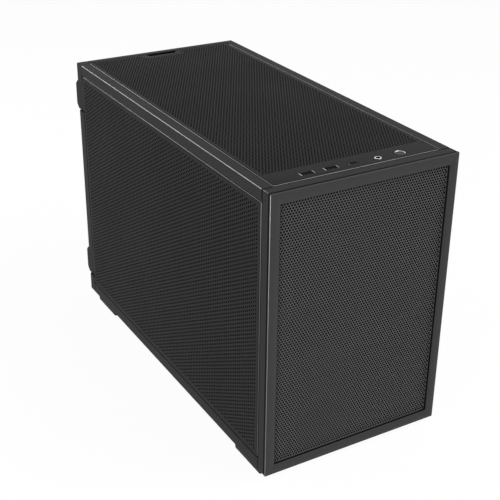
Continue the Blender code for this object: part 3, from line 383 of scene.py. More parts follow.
low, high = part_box("inlet_screw_left")
other_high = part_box("inlet_screw_right")[1]
head, shank, length, point = 0.0028, 0.0014, high.y - low.y, 0.0003
under_head = length - 0.0018
inlet_screws = turned("inlet_screws", [(0.0, length), (head * 0.55, length - 0.0001),
                                       (head * 0.85, length - 0.0005), (head, length - 0.0012),
                                       (head, under_head), (shank, under_head), (shank, point),
                                       (shank - point, 0.0), (0.0, 0.0)], 32, nickel)
slotted(inlet_screws, 0.0016, 0.0003, length, 0.0009)
slotted(inlet_screws, 0.0003, 0.0016, length, 0.0009)
set_out(inlet_screws, 2, other_high.x - high.x, 1, 0.0)
point_rearwards(inlet_screws, low, high)
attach(inlet_screws, "chassis")
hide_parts("inlet_screw_left", "inlet_screw_right")


# Port board: glass laminate under black solder mask, with the ports soldered to its upper side.
# The steel shelf behind the front wall carries it.
lacquer, tree, shader = new_finish("black solder mask over copper", "#141A16", 0.30)
# Tracks under the mask stand up a little and read as slightly lighter lines. A course of the
# pattern is a quarter of its unit high.
track_step = 0.0008
place = add(tree, "ShaderNodeTexCoord").outputs["Object"]
tracks = add(tree, "ShaderNodeTexBrick", {"Vector": place, "Scale": 0.25 / track_step,
                                          "Mortar Size": 0.08, "Mortar": linear("#26332B"),
                                          "Color1": linear("#141A16"), "Color2": linear("#18201B")})
tree.links.new(tracks.outputs["Color"], shader.inputs["Base Color"])
relief = add(tree, "ShaderNodeBump", {"Height": tracks.outputs["Fac"], "Strength": 0.3, "Distance": 0.00004})
tree.links.new(relief.outputs[0], shader.inputs["Normal"])
dress(lacquer, "port_board")


# USB ports: a drawn and plated steel shell with a rolled mouth, and a black moulded insert whose
# tongue carries the contacts. Two of type A and one of type C stand on the port board.
contact_gold, tree, shader = new_finish("gold flash on the contacts", "#C9A45C", 0.25, 1.0)
# Thin gold over nickel: warm and bright, and dull where the stamping left its grain.
grained(tree, shader, size=0.0003, detail=2.0, glossy=0.18, dull=0.35)


def rounded_outline(width, depth, corner, steps):
    """The points of a rectangle with rounded corners, anticlockwise round the origin."""
    points = []
    for quarter in range(4):
        sign_x, sign_y = ((1, 1), (-1, 1), (-1, -1), (1, -1))[quarter]
        centre = (sign_x * (width / 2 - corner), sign_y * (depth / 2 - corner))
        for step in range(steps + 1):
            angle = math.pi / 2 * (quarter + step / steps)
            points.append((centre[0] + corner * math.cos(angle), centre[1] + corner * math.sin(angle)))
    return points


def lofted(form, rings, closed):
    """Skins rings of points that follow one another, and caps them unless the last meets the first."""
    made = [[form.verts.new(point) for point in ring] for ring in rings]
    count = len(made[0])
    pairs = list(zip(made, made[1:])) + ([(made[-1], made[0])] if closed else [])
    bands = [[form.faces.new((one[index], one[(index + 1) % count], other[(index + 1) % count], other[index]))
              for index in range(count)] for one, other in pairs]
    if not closed:
        form.faces.new(list(reversed(made[0])))
        form.faces.new(made[-1])
    bmesh.ops.recalc_face_normals(form, faces=form.faces)
    return bands


def at_height(outline, height):
    """Lifts a flat outline to a height."""
    return [(x, y, height) for x, y in outline]


def stand_in_box(thing, low, high):
    """Moves what was built upright on the origin into its solid's box."""
    thing.data.transform(Matrix.Translation(((low.x + high.x) / 2, (low.y + high.y) / 2, low.z)))


def smoothed(thing, degrees):
    """Shades a piece smooth, but for the edges that turn by more than that."""
    thing.data.shade_smooth()
    thing.data.set_sharp_from_angle(angle=math.radians(degrees))


def usb_shell(name, node, corner, end_lip, finish):
    """A tube of rounded section, open at both ends, whose mouth is rolled into a short funnel."""
    low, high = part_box(node)
    width, depth, top = high.x - low.x, high.y - low.y, high.z - low.z
    wall, side_lip, funnel, rolled = 0.0004, 0.00015, 0.0003, 0.0001
    outer = rounded_outline(width, depth, corner, 6)
    roll = rounded_outline(width - rolled, depth - rolled, corner - rolled / 2, 6)
    mouth = rounded_outline(width - 2 * end_lip, depth - 2 * side_lip, corner - wall, 6)
    inner = rounded_outline(width - 2 * end_lip, depth - 2 * wall, corner - wall, 6)
    form = bmesh.new()
    bands = lofted(form, [at_height(outer, 0.0), at_height(outer, top - rolled), at_height(roll, top),
                          at_height(mouth, top), at_height(inner, top - funnel), at_height(inner, 0.0)], True)
    long_lips = [face for face in bands[1] + bands[2]
                 if abs(face.calc_center_median().y) > depth / 2 - 2 * rolled]
    # The inner bands and the long lips of the mouth take a dark steel finish: painted shade.
    for face in bands[3] + bands[4] + long_lips:
        face.material_index = 1
    shell = link(name, form)
    shell.data.materials.append(finish)
    shell.data.materials.append(painted_shade_steel)
    smoothed(shell, 40)
    stand_in_box(shell, low, high)
    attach(shell, "chassis")
    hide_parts(node)


# Black nickel on the small port is a smoky mirror. Inside the shells and along the long lips of their mouths
# the steel is painted nearly black, as painted shade.
dark_plate = patchy_metal("blackened nickel on the small port", "#5A5A5C", "#8A8A8C")
painted_shade_steel = patchy_metal("painted shade inside the shells and bores", "#1A1A1B", "#262627")
for port in ("usb_a_1", "usb_a_2"):
    usb_shell(port + "_drawn_shell", port + "_shell", 0.0010, 0.00055, nickel)
usb_shell("usb_c_drawn_shell", "usb_c_shell", 0.0014, 0.00040, dark_plate)


def joined(thing, *others):
    """Joins other objects to one, each keeping its finish."""
    finishes = list(thing.data.materials)
    form = bmesh.new()
    form.from_mesh(thing.data)
    for other in others:
        start = len(form.faces)
        form.from_mesh(other.data)
        form.faces.ensure_lookup_table()
        for finish in other.data.materials:
            if finish not in finishes:
                finishes.append(finish)
                thing.data.materials.append(finish)
        for face in form.faces[start:]:
            face.material_index = finishes.index(other.data.materials[face.material_index])
        bpy.data.objects.remove(other)
    form.to_mesh(thing.data)
    form.free()


def usb_insert(name, node, tongue, shift, contacts, contact_step, contact_size, both_faces):
    """The moulded block at the foot of the shell, its tongue, and the contacts along it."""
    low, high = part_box(node)
    width, depth, top = high.x - low.x, high.y - low.y, high.z - low.z
    corner, tongue_length, taper, raised = 0.0006, 0.0090, 0.0005, 0.00005
    foot = top - tongue_length
    base = rounded_outline(width, depth, corner, 4)
    form = bmesh.new()
    lofted(form, [at_height(base, 0.0), at_height(base, foot)], False)
    blade = rounded_outline(tongue[0], tongue[1], min(tongue) * 0.2, 3)
    nose = rounded_outline(tongue[0] - taper, tongue[1] * 0.6, min(tongue) * 0.2, 3)
    blade = [(x, y + shift) for x, y in blade]
    nose = [(x, y + shift) for x, y in nose]
    lofted(form, [at_height(blade, foot - taper), at_height(blade, top - taper), at_height(nose, top)], False)
    insert = link(name, form)
    insert.data.materials.append(moulded)
    contact_width, contact_end = contact_size
    for side in (-1, 1) if both_faces else (-1,):
        strip = bmesh.new()
        block(strip, (-contact_width / 2, -raised, foot + 0.0003),
              (contact_width / 2, raised, top - contact_end))
        contact = link("contact", strip)
        contact.data.materials.append(contact_gold)
        set_out(contact, contacts, contact_step, 1, 0.0)
        first = -(contacts - 1) * contact_step / 2
        contact.data.transform(Matrix.Translation((first, shift + side * tongue[1] / 2, 0.0)))
        joined(insert, contact)
    stand_in_box(insert, low, high)
    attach(insert, "chassis")
    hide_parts(node)


for port in ("usb_a_1", "usb_a_2"):
    usb_insert(port + "_moulding", port + "_insert", (0.0110, 0.0018), 0.00095, 4, 0.0024,
               (0.0010, 0.0011), False)
usb_insert("usb_c_moulding", "usb_c_insert", (0.0066, 0.0007), 0.0, 10, 0.0005, (0.00025, 0.0007), True)


# Audio jack: a moulded body soldered to the port board. A plated collar lines its mouth, which stands in a
# round hole of the top panel, and the bore within is painted dark as shade.
low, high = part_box("audio_jack")
collar, bore, depth, sleeve = 0.0033, 0.0018, 0.0138, 0.0100
collar_seat, collar_gap = collar - 0.0004, 0.00005
top, shoulder = high.z - low.z, high.z - low.z - 0.0020
form = bmesh.new()
half = (high.x - low.x) / 2
block(form, (-half, -half, 0.0), (half, half, shoulder))
upright_edges = [edge for edge in form.edges if abs((edge.verts[0].co - edge.verts[1].co).z) > 0.001]
bmesh.ops.bevel(form, geom=upright_edges, offset=0.0006, segments=3, profile=0.5, affect="EDGES")
jack = link("jack_moulding", form)
jack.data.materials.append(moulded)
hole = bmesh.new()
bmesh.ops.create_cone(hole, cap_ends=True, segments=32, radius1=collar_seat, radius2=collar_seat,
                      depth=depth, matrix=Matrix.Translation((0.0, 0.0, top - depth / 2)))
cut(jack, hole)
ring = turned("collar", [(bore, shoulder - sleeve), (bore, top - 0.0004), (bore + 0.0003, top - 0.0001),
                         (collar - 0.0007, top), (collar - 0.0002, top - 0.0001), (collar, top - 0.0004),
                         (collar, shoulder + collar_gap), (collar_seat, shoulder + collar_gap),
                         (collar_seat, shoulder - sleeve), (bore, shoulder - sleeve)], 40, nickel)
ring.data.materials.append(painted_shade_steel)
# The faces of the bore take painted shade.
for face in ring.data.polygons:
    if Vector(face.center.xy).length < bore + 0.0003:
        face.material_index = 1
joined(jack, ring)
stand_in_box(jack, low, high)
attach(jack, "chassis")
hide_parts("audio_jack")


# Power button: a dished cap moulded in black, whose dish has a bright foiled rim. It slides in
# its guide and presses the small switch under it.
dress(moulded, "power_switch", "button_guide", edge=0.0002)
low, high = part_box("power_button")
cap, flange, stem = 0.0052, 0.0064, 0.0022
dish, dish_top, dish_deep = cap - 0.0009, cap - 0.0006, 0.0004
top = high.z - low.z
under = top - 0.0013
flange_low = under - 0.0010
satin_black, tree, shader = new_finish("satin black moulding of the button", "#1F1F1F", 0.34, specular=0.12)
# A finer grain than that of the other mouldings, and a little more sheen.
grained(tree, shader, size=0.0004, detail=2.0, glossy=0.28, dull=0.40)
button = turned("power_button_cap", [(0.0, top - 0.0006), (0.0022, top - 0.00055), (dish, top - dish_deep),
                                     (dish_top, top), (cap - 0.0004, top), (cap - 0.0001, top - 0.0001),
                                     (cap, top - 0.0004), (cap, under), (flange, under),
                                     (flange, flange_low), (stem, flange_low), (stem, 0.0), (0.0, 0.0)],
                64, satin_black)
# The steep side of the dish is foiled in soft chrome, and reads as a bright arc on the far side.
button.data.materials.append(patchy_metal("soft chrome foil on the button", "#9A9A9C", "#C8C8CA"))
for face in button.data.polygons:
    if face.center.z > top - dish_deep and dish < Vector(face.center.xy).length < dish_top:
        face.material_index = 1
stand_in_box(button, low, high)
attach(button, "button")
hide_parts("power_button")


# Feet: four moulded rubber blocks glued under the floor, with drafted sides. Their soles stand
# 2 mm in from the case's sides, up to 3 mm further out than the plain solids.
rubber, tree, shader = new_finish("matt foot rubber", "#161617", 0.75, specular=0.3)
# Dusty black rubber, a little lighter where the mould's grain stands up.
place = add(tree, "ShaderNodeTexCoord").outputs["Object"]
dust = add(tree, "ShaderNodeTexNoise", {"Vector": place, "Scale": 1 / 0.004, "Detail": 5.0})
tint = add(tree, "ShaderNodeMix", {0: dust.outputs["Fac"], 6: linear("#131314"), 7: linear("#1F1F1F")},
           data_type="RGBA")
tree.links.new(tint.outputs[2], shader.inputs["Base Color"])
relief = add(tree, "ShaderNodeBump", {"Height": dust.outputs["Fac"], "Strength": 0.3, "Distance": 0.0001})
tree.links.new(relief.outputs[0], shader.inputs["Normal"])
foot_low, foot_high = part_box("foot_front_left")
foot_width, foot_length, foot_height, foot_corner = 0.0150, 0.0460, foot_high.z - foot_low.z, 0.0015
foot_draft, sole_edge, foot_aside = 0.0003, 0.0003, cad_high.x - 0.0012 - foot_width / 2
front_foot, rear_foot = -0.1680, 0.1500
rings = []
for inset, height in ((foot_draft + sole_edge, 0.0), (foot_draft, sole_edge), (0.0, foot_height)):
    outline = rounded_outline(foot_width - 2 * inset, foot_length - 2 * inset, foot_corner, 4)
    rings.append(at_height(outline, height))
form = bmesh.new()
lofted(form, rings, False)
feet = link("rubber_feet", form)
feet.data.materials.append(rubber)
set_out(feet, 2, 2 * foot_aside, 2, rear_foot - front_foot)
smoothed(feet, 30)
feet.data.transform(Matrix.Translation((-foot_aside, front_foot, foot_low.z)))
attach(feet, "chassis")
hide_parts("foot_front_left", "foot_front_right", "foot_rear_left", "foot_rear_right")


# Ball studs: turned from steel rod and nickel plated. Four stand on the inner side of each panel
# that lifts off, and their balls snap into the chassis.
def middle_of(node):
    """The middle of a solid's box."""
    low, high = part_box(node)
    return (low + high) / 2


def studs(panel, body, column_axis, row_axis, into, way):
    """Builds one stud upright, sets out four and turns them to point into the chassis.

    The axes are those of the columns, of the rows and of the studs, which point along it or back.
    """
    nodes = ["%s_stud_%d" % (panel, index) for index in range(1, 5)]
    low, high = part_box(nodes[0])
    length = high[into] - low[into]
    ball, neck, base, foot = 0.0019, 0.0012, 0.0022, 0.0010
    profile = [(0.0, length)]
    for step in range(1, 8):
        angle = math.pi * step / 10
        profile.append((ball * math.sin(angle), length - ball + ball * math.cos(angle)))
    profile += [(neck, length - 2 * ball + 0.0002), (neck, foot + 0.0002), (neck + 0.0002, foot),
                (base - 0.0002, foot), (base, foot - 0.0002), (base, 0.0), (0.0, 0.0)]
    name = panel + "_panel_studs"
    thing = turned(name, profile, 24, nickel)
    places = [middle_of(node) for node in nodes]
    first = Vector([min(place[axis] for place in places) for axis in range(3)])
    span = Vector([max(place[axis] for place in places) for axis in range(3)]) - first
    set_out(thing, 2, span[column_axis], 2, span[row_axis])
    first[into] = low[into] if way > 0 else high[into]
    aim = Matrix.Diagonal((0.0, 0.0, 0.0, 1.0))
    aim.translation = first
    for column, (axis, sign) in enumerate(((column_axis, 1), (row_axis, 1), (into, way))):
        aim[axis][column] = sign
    thing.data.transform(aim)
    if aim.determinant() < 0:
        thing.data.flip_normals()
    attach(thing, body)
    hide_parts(*nodes)


studs("front", "front_panel", 0, 2, 1, 1)
studs("top", "lid", 0, 1, 2, -1)
studs("left", "left_panel", 1, 2, 0, 1)
studs("right", "right_panel", 1, 2, 0, -1)


# Front panel: a plate bezel with a rounded edge, and a flat perforated sheet fixed behind its window. Both are
# steel in a satin coat, drawn lighter than the chassis's as painted light for the light on the front.
sheet = 0.0010
# The bezel's coat is lightened as painted light and gives a soft grey face, and its upright edges carry a
# painted highlight, a light line. The sheet's coat is lighter still, painted light that makes its web a paler
# grey veil over the dark inside.
front_lit_trim_coat = powder_coat("satin charcoal coat on the bezel", "#292929", "#323232", 0.46, 0.20)
bezel_edge_highlight = patchy_metal("painted highlight on the bezel's edges", "#6C6C6C", "#969696")
front_lit_mesh_coat = powder_coat("satin coat on the front sheet, lightened as painted light", "#494949", "#575757", 0.46, 0.20)
# The bores of the holes are painted nearly black as shade.
painted_shade_coat = powder_coat("painted shade in the bores and cut sides", "#0B0B0B", "#121212", 0.60, 0.03)


def perforating_tree():
    """Punches staggered hexagonal holes in a flat outline and gives the sheet its thickness.

    The web between the holes is laid like tiles: a rectangle between each two holes and a
    triangle between each three. Only the border round them is filled by triangulation.
    """
    tree, given = shape_tree("perforated sheet", (
        ("Geometry", "Outline"), ("Float", "Pitch"), ("Float", "Hole Radius"), ("Float", "Margin"),
        ("Float", "Thickness"), ("Material", "Coat"), ("Material", "Bore")), "Sheet")
    pitch, radius = given["Pitch"], given["Hole Radius"]

    def maths(operation, *values):
        return add(tree, "ShaderNodeMath", dict(enumerate(values)), operation=operation).outputs[0]

    def gathered(*parts):
        joint = add(tree, "GeometryNodeJoinGeometry")
        for part in parts:
            tree.links.new(part, joint.inputs[0])
        return joint.outputs[0]

    def welded(geometry):
        return add(tree, "GeometryNodeMergeByDistance", {"Geometry": geometry, "Distance": 0.000005}).outputs[0]

    box = add(tree, "GeometryNodeBoundBox", {0: given["Outline"]}).outputs
    size = add(tree, "ShaderNodeVectorMath", {0: box["Max"], 1: box["Min"]}, operation="SUBTRACT")
    size = add(tree, "ShaderNodeSeparateXYZ", {0: size.outputs[0]}).outputs
    middle = add(tree, "ShaderNodeVectorMath", {0: box["Max"], 1: box["Min"]}, operation="ADD").outputs[0]
    middle = add(tree, "ShaderNodeVectorMath", {0: middle, "Scale": 0.5}, operation="SCALE").outputs[0]
    row_step = maths("MULTIPLY", pitch, math.sqrt(3) / 2)
    columns = maths("ADD", maths("CEIL", maths("DIVIDE", size[0], pitch)), 3.0)
    rows = maths("ADD", maths("CEIL", maths("DIVIDE", size[1], row_step)), 3.0)
    width = maths("MULTIPLY", maths("SUBTRACT", columns, 1.0), pitch)
    height = maths("MULTIPLY", maths("SUBTRACT", rows, 1.0), row_step)
    grid = add(tree, "GeometryNodeMeshGrid", {"Size X": width, "Size Y": height, "Vertices X": columns,
                                              "Vertices Y": rows}).outputs["Mesh"]
    place = add(tree, "GeometryNodeInputPosition").outputs[0]
    level = add(tree, "ShaderNodeSeparateXYZ", {0: place}).outputs[1]
    row = maths("ROUND", maths("DIVIDE", maths("ADD", level, maths("MULTIPLY", height, 0.5)), row_step))
    shift = maths("MULTIPLY", maths("SUBTRACT", maths("MODULO", row, 2.0), 0.5), maths("MULTIPLY", pitch, 0.5))
    staggered = add(tree, "GeometryNodeSetPosition",
                    {"Geometry": grid, "Offset": add(tree, "ShaderNodeCombineXYZ", {0: shift}).outputs[0]})
    lattice = add(tree, "GeometryNodeTriangulate", {0: staggered.outputs[0]}, quad_method="SHORTEST_DIAGONAL")
    lattice = add(tree, "GeometryNodeTransform", {0: lattice.outputs[0], "Translation": middle}).outputs[0]

    edge = add(tree, "GeometryNodeProximity", {0: given["Outline"], "Source Position": place},
               target_element="EDGES").outputs["Distance"]
    near = maths("LESS_THAN", edge, maths("ADD", given["Margin"], radius))
    over = add(tree, "ShaderNodeVectorMath", {0: place, 1: (0.0, 0.0, 0.01)}, operation="ADD").outputs[0]
    hit = add(tree, "GeometryNodeRaycast", {0: given["Outline"], "Source Position": over,
                                            "Ray Direction": (0.0, 0.0, -1.0), "Ray Length": 0.1})
    outside = add(tree, "FunctionNodeBooleanMath", {0: hit.outputs["Is Hit"]}, operation="NOT").outputs[0]
    dropped = add(tree, "FunctionNodeBooleanMath", {0: near, 1: outside}, operation="OR").outputs[0]
    lattice = add(tree, "GeometryNodeDeleteGeometry", {0: lattice, 1: dropped}, domain="POINT").outputs[0]

    plug = add(tree, "GeometryNodeMeshCircle", {"Vertices": 6, "Radius": radius}, fill_type="NGON")
    plugs = add(tree, "GeometryNodeInstanceOnPoints", {"Points": lattice, "Instance": plug.outputs[0],
                                                       "Rotation": (0.0, 0.0, math.radians(30))}).outputs[0]

    ends = add(tree, "GeometryNodeInputMeshEdgeVertices").outputs
    along = add(tree, "ShaderNodeVectorMath", {0: ends["Position 2"], 1: ends["Position 1"]},
                operation="SUBTRACT").outputs[0]
    along = add(tree, "ShaderNodeSeparateXYZ", {0: along}).outputs
    heading = maths("ARCTAN2", along[1], along[0])
    marked = add(tree, "GeometryNodeCaptureAttribute", {"Geometry": lattice}, domain="EDGE")
    marked.capture_items.new("FLOAT", "Heading")
    tree.links.new(heading, marked.inputs["Heading"])
    spans = add(tree, "GeometryNodeMeshToPoints", {"Mesh": marked.outputs["Geometry"]}, mode="EDGES").outputs[0]
    gap = maths("SUBTRACT", pitch, maths("MULTIPLY", radius, math.sqrt(3)))
    tile = add(tree, "GeometryNodeMeshGrid", {"Size X": gap, "Size Y": radius, "Vertices X": 2,
                                              "Vertices Y": 2})
    turned_by = add(tree, "ShaderNodeCombineXYZ", {2: marked.outputs["Heading"]}).outputs[0]
    spans = add(tree, "GeometryNodeInstanceOnPoints", {"Points": spans, "Instance": tile.outputs["Mesh"],
                                                       "Rotation": turned_by}).outputs[0]

    centres = add(tree, "GeometryNodeMeshToPoints", {"Mesh": lattice}, mode="FACES").outputs[0]
    corner = maths("SUBTRACT", maths("DIVIDE", pitch, math.sqrt(3)), radius)
    tile = add(tree, "GeometryNodeMeshCircle", {"Vertices": 3, "Radius": corner}, fill_type="NGON")
    middle_level = add(tree, "ShaderNodeSeparateXYZ", {0: middle}).outputs[1]
    climb = maths("SUBTRACT", level, maths("SUBTRACT", middle_level, maths("MULTIPLY", height, 0.5)))
    share = maths("FRACT", maths("DIVIDE", climb, row_step))
    upward = maths("MULTIPLY_ADD", maths("GREATER_THAN", share, 0.5), -math.pi, math.pi / 2)
    turned_by = add(tree, "ShaderNodeCombineXYZ", {2: upward}).outputs[0]
    corners = add(tree, "GeometryNodeInstanceOnPoints", {"Points": centres, "Instance": tile.outputs[0],
                                                         "Rotation": turned_by}).outputs[0]

    web = welded(add(tree, "GeometryNodeRealizeInstances", {0: gathered(plugs, spans, corners)}).outputs[0])
    neighbours = add(tree, "GeometryNodeInputMeshEdgeNeighbors").outputs[0]
    rim = add(tree, "FunctionNodeCompare", {2: neighbours, 3: 1}, data_type="INT", operation="EQUAL").outputs[0]
    loops = add(tree, "GeometryNodeMeshToCurve", {0: web, 1: rim}).outputs[0]
    frame_loop = add(tree, "GeometryNodeMeshToCurve", {0: given["Outline"]}).outputs[0]
    border = add(tree, "GeometryNodeFillCurve", {0: gathered(frame_loop, loops)}).outputs[0]
    sides = add(tree, "GeometryNodeInputMeshFaceNeighbors").outputs["Vertex Count"]
    plugged = add(tree, "FunctionNodeCompare", {2: sides, 3: 6}, data_type="INT", operation="EQUAL").outputs[0]
    web = add(tree, "GeometryNodeDeleteGeometry", {0: web, 1: plugged}, domain="FACE").outputs[0]
    flat = welded(gathered(web, border))

    raised = add(tree, "GeometryNodeExtrudeMesh", {"Mesh": flat, "Offset": (0.0, 0.0, 1.0),
                                                   "Offset Scale": given["Thickness"], "Individual": False})
    under = add(tree, "GeometryNodeFlipFaces", {0: flat}).outputs[0]
    whole = add(tree, "GeometryNodeRealizeInstances", {0: welded(gathered(raised.outputs["Mesh"], under))})
    coated = add(tree, "GeometryNodeSetMaterial", {0: whole.outputs[0], "Material": given["Coat"]})
    # The sides of the holes, and the sheet's edges, take the bore finish: painted shade.
    lined = add(tree, "GeometryNodeSetMaterial", {"Geometry": coated.outputs[0], "Material": given["Bore"],
                                                  "Selection": raised.outputs["Side"]})
    add(tree, "NodeGroupOutput", {0: lined.outputs[0]})
    return tree


perforating = perforating_tree()


def perforated(name, outline, pitch, radius, margin, thickness, finish):
    """Punches a sheet of that outline, lying flat with its inner face at the ground."""
    form = bmesh.new()
    form.faces.new([form.verts.new((x, y, 0.0)) for x, y in outline])
    return fed(link(name, form), perforating, {"Pitch": pitch, "Hole Radius": radius, "Margin": margin,
                                               "Thickness": thickness, "Coat": finish, "Bore": painted_shade_coat})


# The real holes are 2.2 mm apart on every panel. The front's are drawn at 2.72 mm, as a sheet of
# finer ones would have too many faces.
low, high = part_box("front_mesh")
pitch, hole_radius, margin = 0.00272, 0.00119, 0.00115
outline = [(low.x, low.z), (high.x, low.z), (high.x, high.z), (low.x, high.z)]
front_mesh = perforated("front_perforated_sheet", outline, pitch, hole_radius, margin, sheet, front_lit_mesh_coat)
stand_up = Matrix.Rotation(math.pi / 2, 4, "X")
front_mesh.data.transform(Matrix.Translation((0.0, high.y, 0.0)) @ stand_up)
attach(front_mesh, "front_panel")
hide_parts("front_mesh")

low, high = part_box("front_bezel")
side_width, end_width, edge, burr, corner = 0.0093, 0.0100, 0.0009, 0.0003, 0.0008
outer_width, outer_height, thickness = high.x - low.x, high.z - low.z, high.y - low.y
window_width, window_height = outer_width - 2 * side_width, outer_height - 2 * end_width
rings = []
for inset, depth in ((0.0, thickness), (0.0, edge), (edge * 0.134, edge * 0.5),
                     (edge * 0.5, edge * 0.134), (edge, 0.0)):
    outline = rounded_outline(outer_width - 2 * inset, outer_height - 2 * inset, corner, 3)
    rings.append(at_height(outline, -depth))
for inset, depth in ((burr, 0.0), (0.0, burr), (0.0, thickness)):
    outline = rounded_outline(window_width + 2 * inset, window_height + 2 * inset, corner, 3)
    rings.append(at_height(outline, -depth))
form = bmesh.new()
# The upright outer edges carry a painted highlight. The plate's cut sides, outside and round the window, carry
# painted shade.
bands = lofted(form, rings, True)
form.normal_update()
for face in bands[2]:
    if abs(face.normal.x) > 0.5:
        face.material_index = 1
for face in bands[0] + bands[6]:
    face.material_index = 2
bezel = link("bezel_plate", form)
for finish in (front_lit_trim_coat, bezel_edge_highlight, painted_shade_coat):
    bezel.data.materials.append(finish)
smoothed(bezel, 50)
bezel.data.transform(Matrix.Translation((0.0, low.y, (low.z + high.z) / 2)) @ stand_up)
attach(bezel, "front_panel")
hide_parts("front_bezel")


# Top panel: a perforated pan that lifts off, with a plain strip for the ports at the front and a
# finger notch at the rear. Its edges are bent down, and it has the same coat as the side panels.
panel_coat = powder_coat("charcoal powder coat on the panels", "#1A1A1A", "#222222", 0.52, 0.05)
# To the eye it is the darkest coat on the case, and a faint lighter line is painted on its soft bends as a
# highlight.
soft_fold_highlight = patchy_metal("painted highlight on a soft bend", "#4A4A4A", "#727272", aside=0.0805, inner=0.50)


def pressed_pan(name, width, length, depth):
    """A shallow pan lying flat, its face on top and its edges bent down, before any hole."""
    form = bmesh.new()
    block(form, (-width / 2, -length / 2, -depth), (width / 2, length / 2, 0.0))
    rim = {edge for edge in form.edges if all(v.co.z < -depth / 2 for v in edge.verts)}
    bends = [edge for edge in form.edges if edge not in rim]
    lid = [face for face in form.faces if face.normal.z < -0.9]
    bmesh.ops.delete(form, geom=lid, context="FACES_ONLY")
    bmesh.ops.bevel(form, geom=bends, offset=0.0014, segments=5, profile=0.5, affect="EDGES")
    form.normal_update()
    # The middle faces of each bend take the painted highlight.
    for face in form.faces:
        if 0.6 < face.normal.z < 0.8:
            face.material_index = 1
    thing = link(name, form)
    thing.data.materials.append(panel_coat)
    thing.data.materials.append(soft_fold_highlight)
    wall = thing.modifiers.new("thickness", "SOLIDIFY")
    wall.thickness = sheet
    wall.offset = -1.0
    wall.use_even_offset = True
    return plain(thing)


def prism(form, outline, low, high):
    """Adds an upright prism of that outline to a bmesh."""
    lofted(form, [at_height(outline, low), at_height(outline, high)], False)


low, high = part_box("top_panel")
pan_width, pan_length = high.x - low.x, high.y - low.y
lid = pressed_pan("top_perforated_panel", pan_width, pan_length, high.z - low.z)
lid.data.transform(Matrix.Translation((0.0, (low.y + high.y) / 2, high.z)))
# The holes end 3 mm short of the pan's edges, and keep 4 mm clear of the notch at the rear.
border, plain_half, plain_mouth, plain_depth = 0.0030, 0.0192, 0.0232, 0.0085
field_front, field_rear, field_side = -0.1650, high.y - border, high.x - border
window = [(-field_side, field_front), (field_side, field_front), (field_side, field_rear),
          (plain_mouth, field_rear), (plain_half, field_rear - plain_depth),
          (-plain_half, field_rear - plain_depth), (-plain_mouth, field_rear), (-field_side, field_rear)]
reach = 0.003
hollow = bmesh.new()
prism(hollow, window, high.z - reach, high.z + reach)
cut(lid, hollow)
notch_half, notch_mouth, notch_depth, past = 0.0150, 0.0190, 0.0070, 0.001
holes = bmesh.new()
prism(holes, [(-notch_half, high.y - notch_depth), (notch_half, high.y - notch_depth),
              (notch_mouth, high.y + past), (-notch_mouth, high.y + past)], low.z - past, high.z + past)
# Each port stands in a hole of its own shape, with a gap all round.
port_y, reach = middle_of("audio_jack").y, 0.002
for node, gap, corner in (("usb_a_1_shell", 0.0004, 0.0014), ("usb_a_2_shell", 0.0004, 0.0014),
                          ("usb_c_shell", 0.0009, 0.0023)):
    port_low, port_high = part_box(node)
    size, middle = port_high - port_low, (port_low.x + port_high.x) / 2
    outline = rounded_outline(size.x + 2 * gap, size.y + 2 * gap, corner, 6)
    prism(holes, [(x + middle, y + port_y) for x, y in outline], high.z - reach, high.z + reach)
for node, radius in (("audio_jack", 0.0037), ("power_button", 0.0056)):
    middle, angles = middle_of(node).x, [math.tau * step / 64 for step in range(64)]
    prism(holes, [(middle + radius * math.cos(angle), port_y + radius * math.sin(angle))
                  for angle in angles], high.z - reach, high.z + reach)
cut(lid, holes)
smoothed(lid, 30)
# The top's holes are drawn at 3.0 mm. They are wider than the real ones, so the sheet is drawn
# deeper by the same share, on its inner side: it then hides what is behind it as the real one does.
pitch, hole_radius, margin, deep_sheet = 0.0030, 0.00105, 0.0006, 0.0014
field = perforated("top_field", window, pitch, hole_radius, margin, deep_sheet, panel_coat)
field.data.transform(Matrix.Translation((0.0, 0.0, high.z - deep_sheet)))
joined(lid, field)
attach(lid, "lid")
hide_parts("top_panel")


# Side panels: the same perforated pans, larger, each with two pull tabs that reach out at the
# rear through notches in the wall. They hang on four ball studs each.
rear_edge, reach = 0.1798, 0.003
tab_heights, tab_half, tip_half, slant, overlap = (0.0410, 0.2385), 0.0155, 0.0110, 0.0045, 0.0005
tab_inner, tab_outer = 0.0907, 0.0917
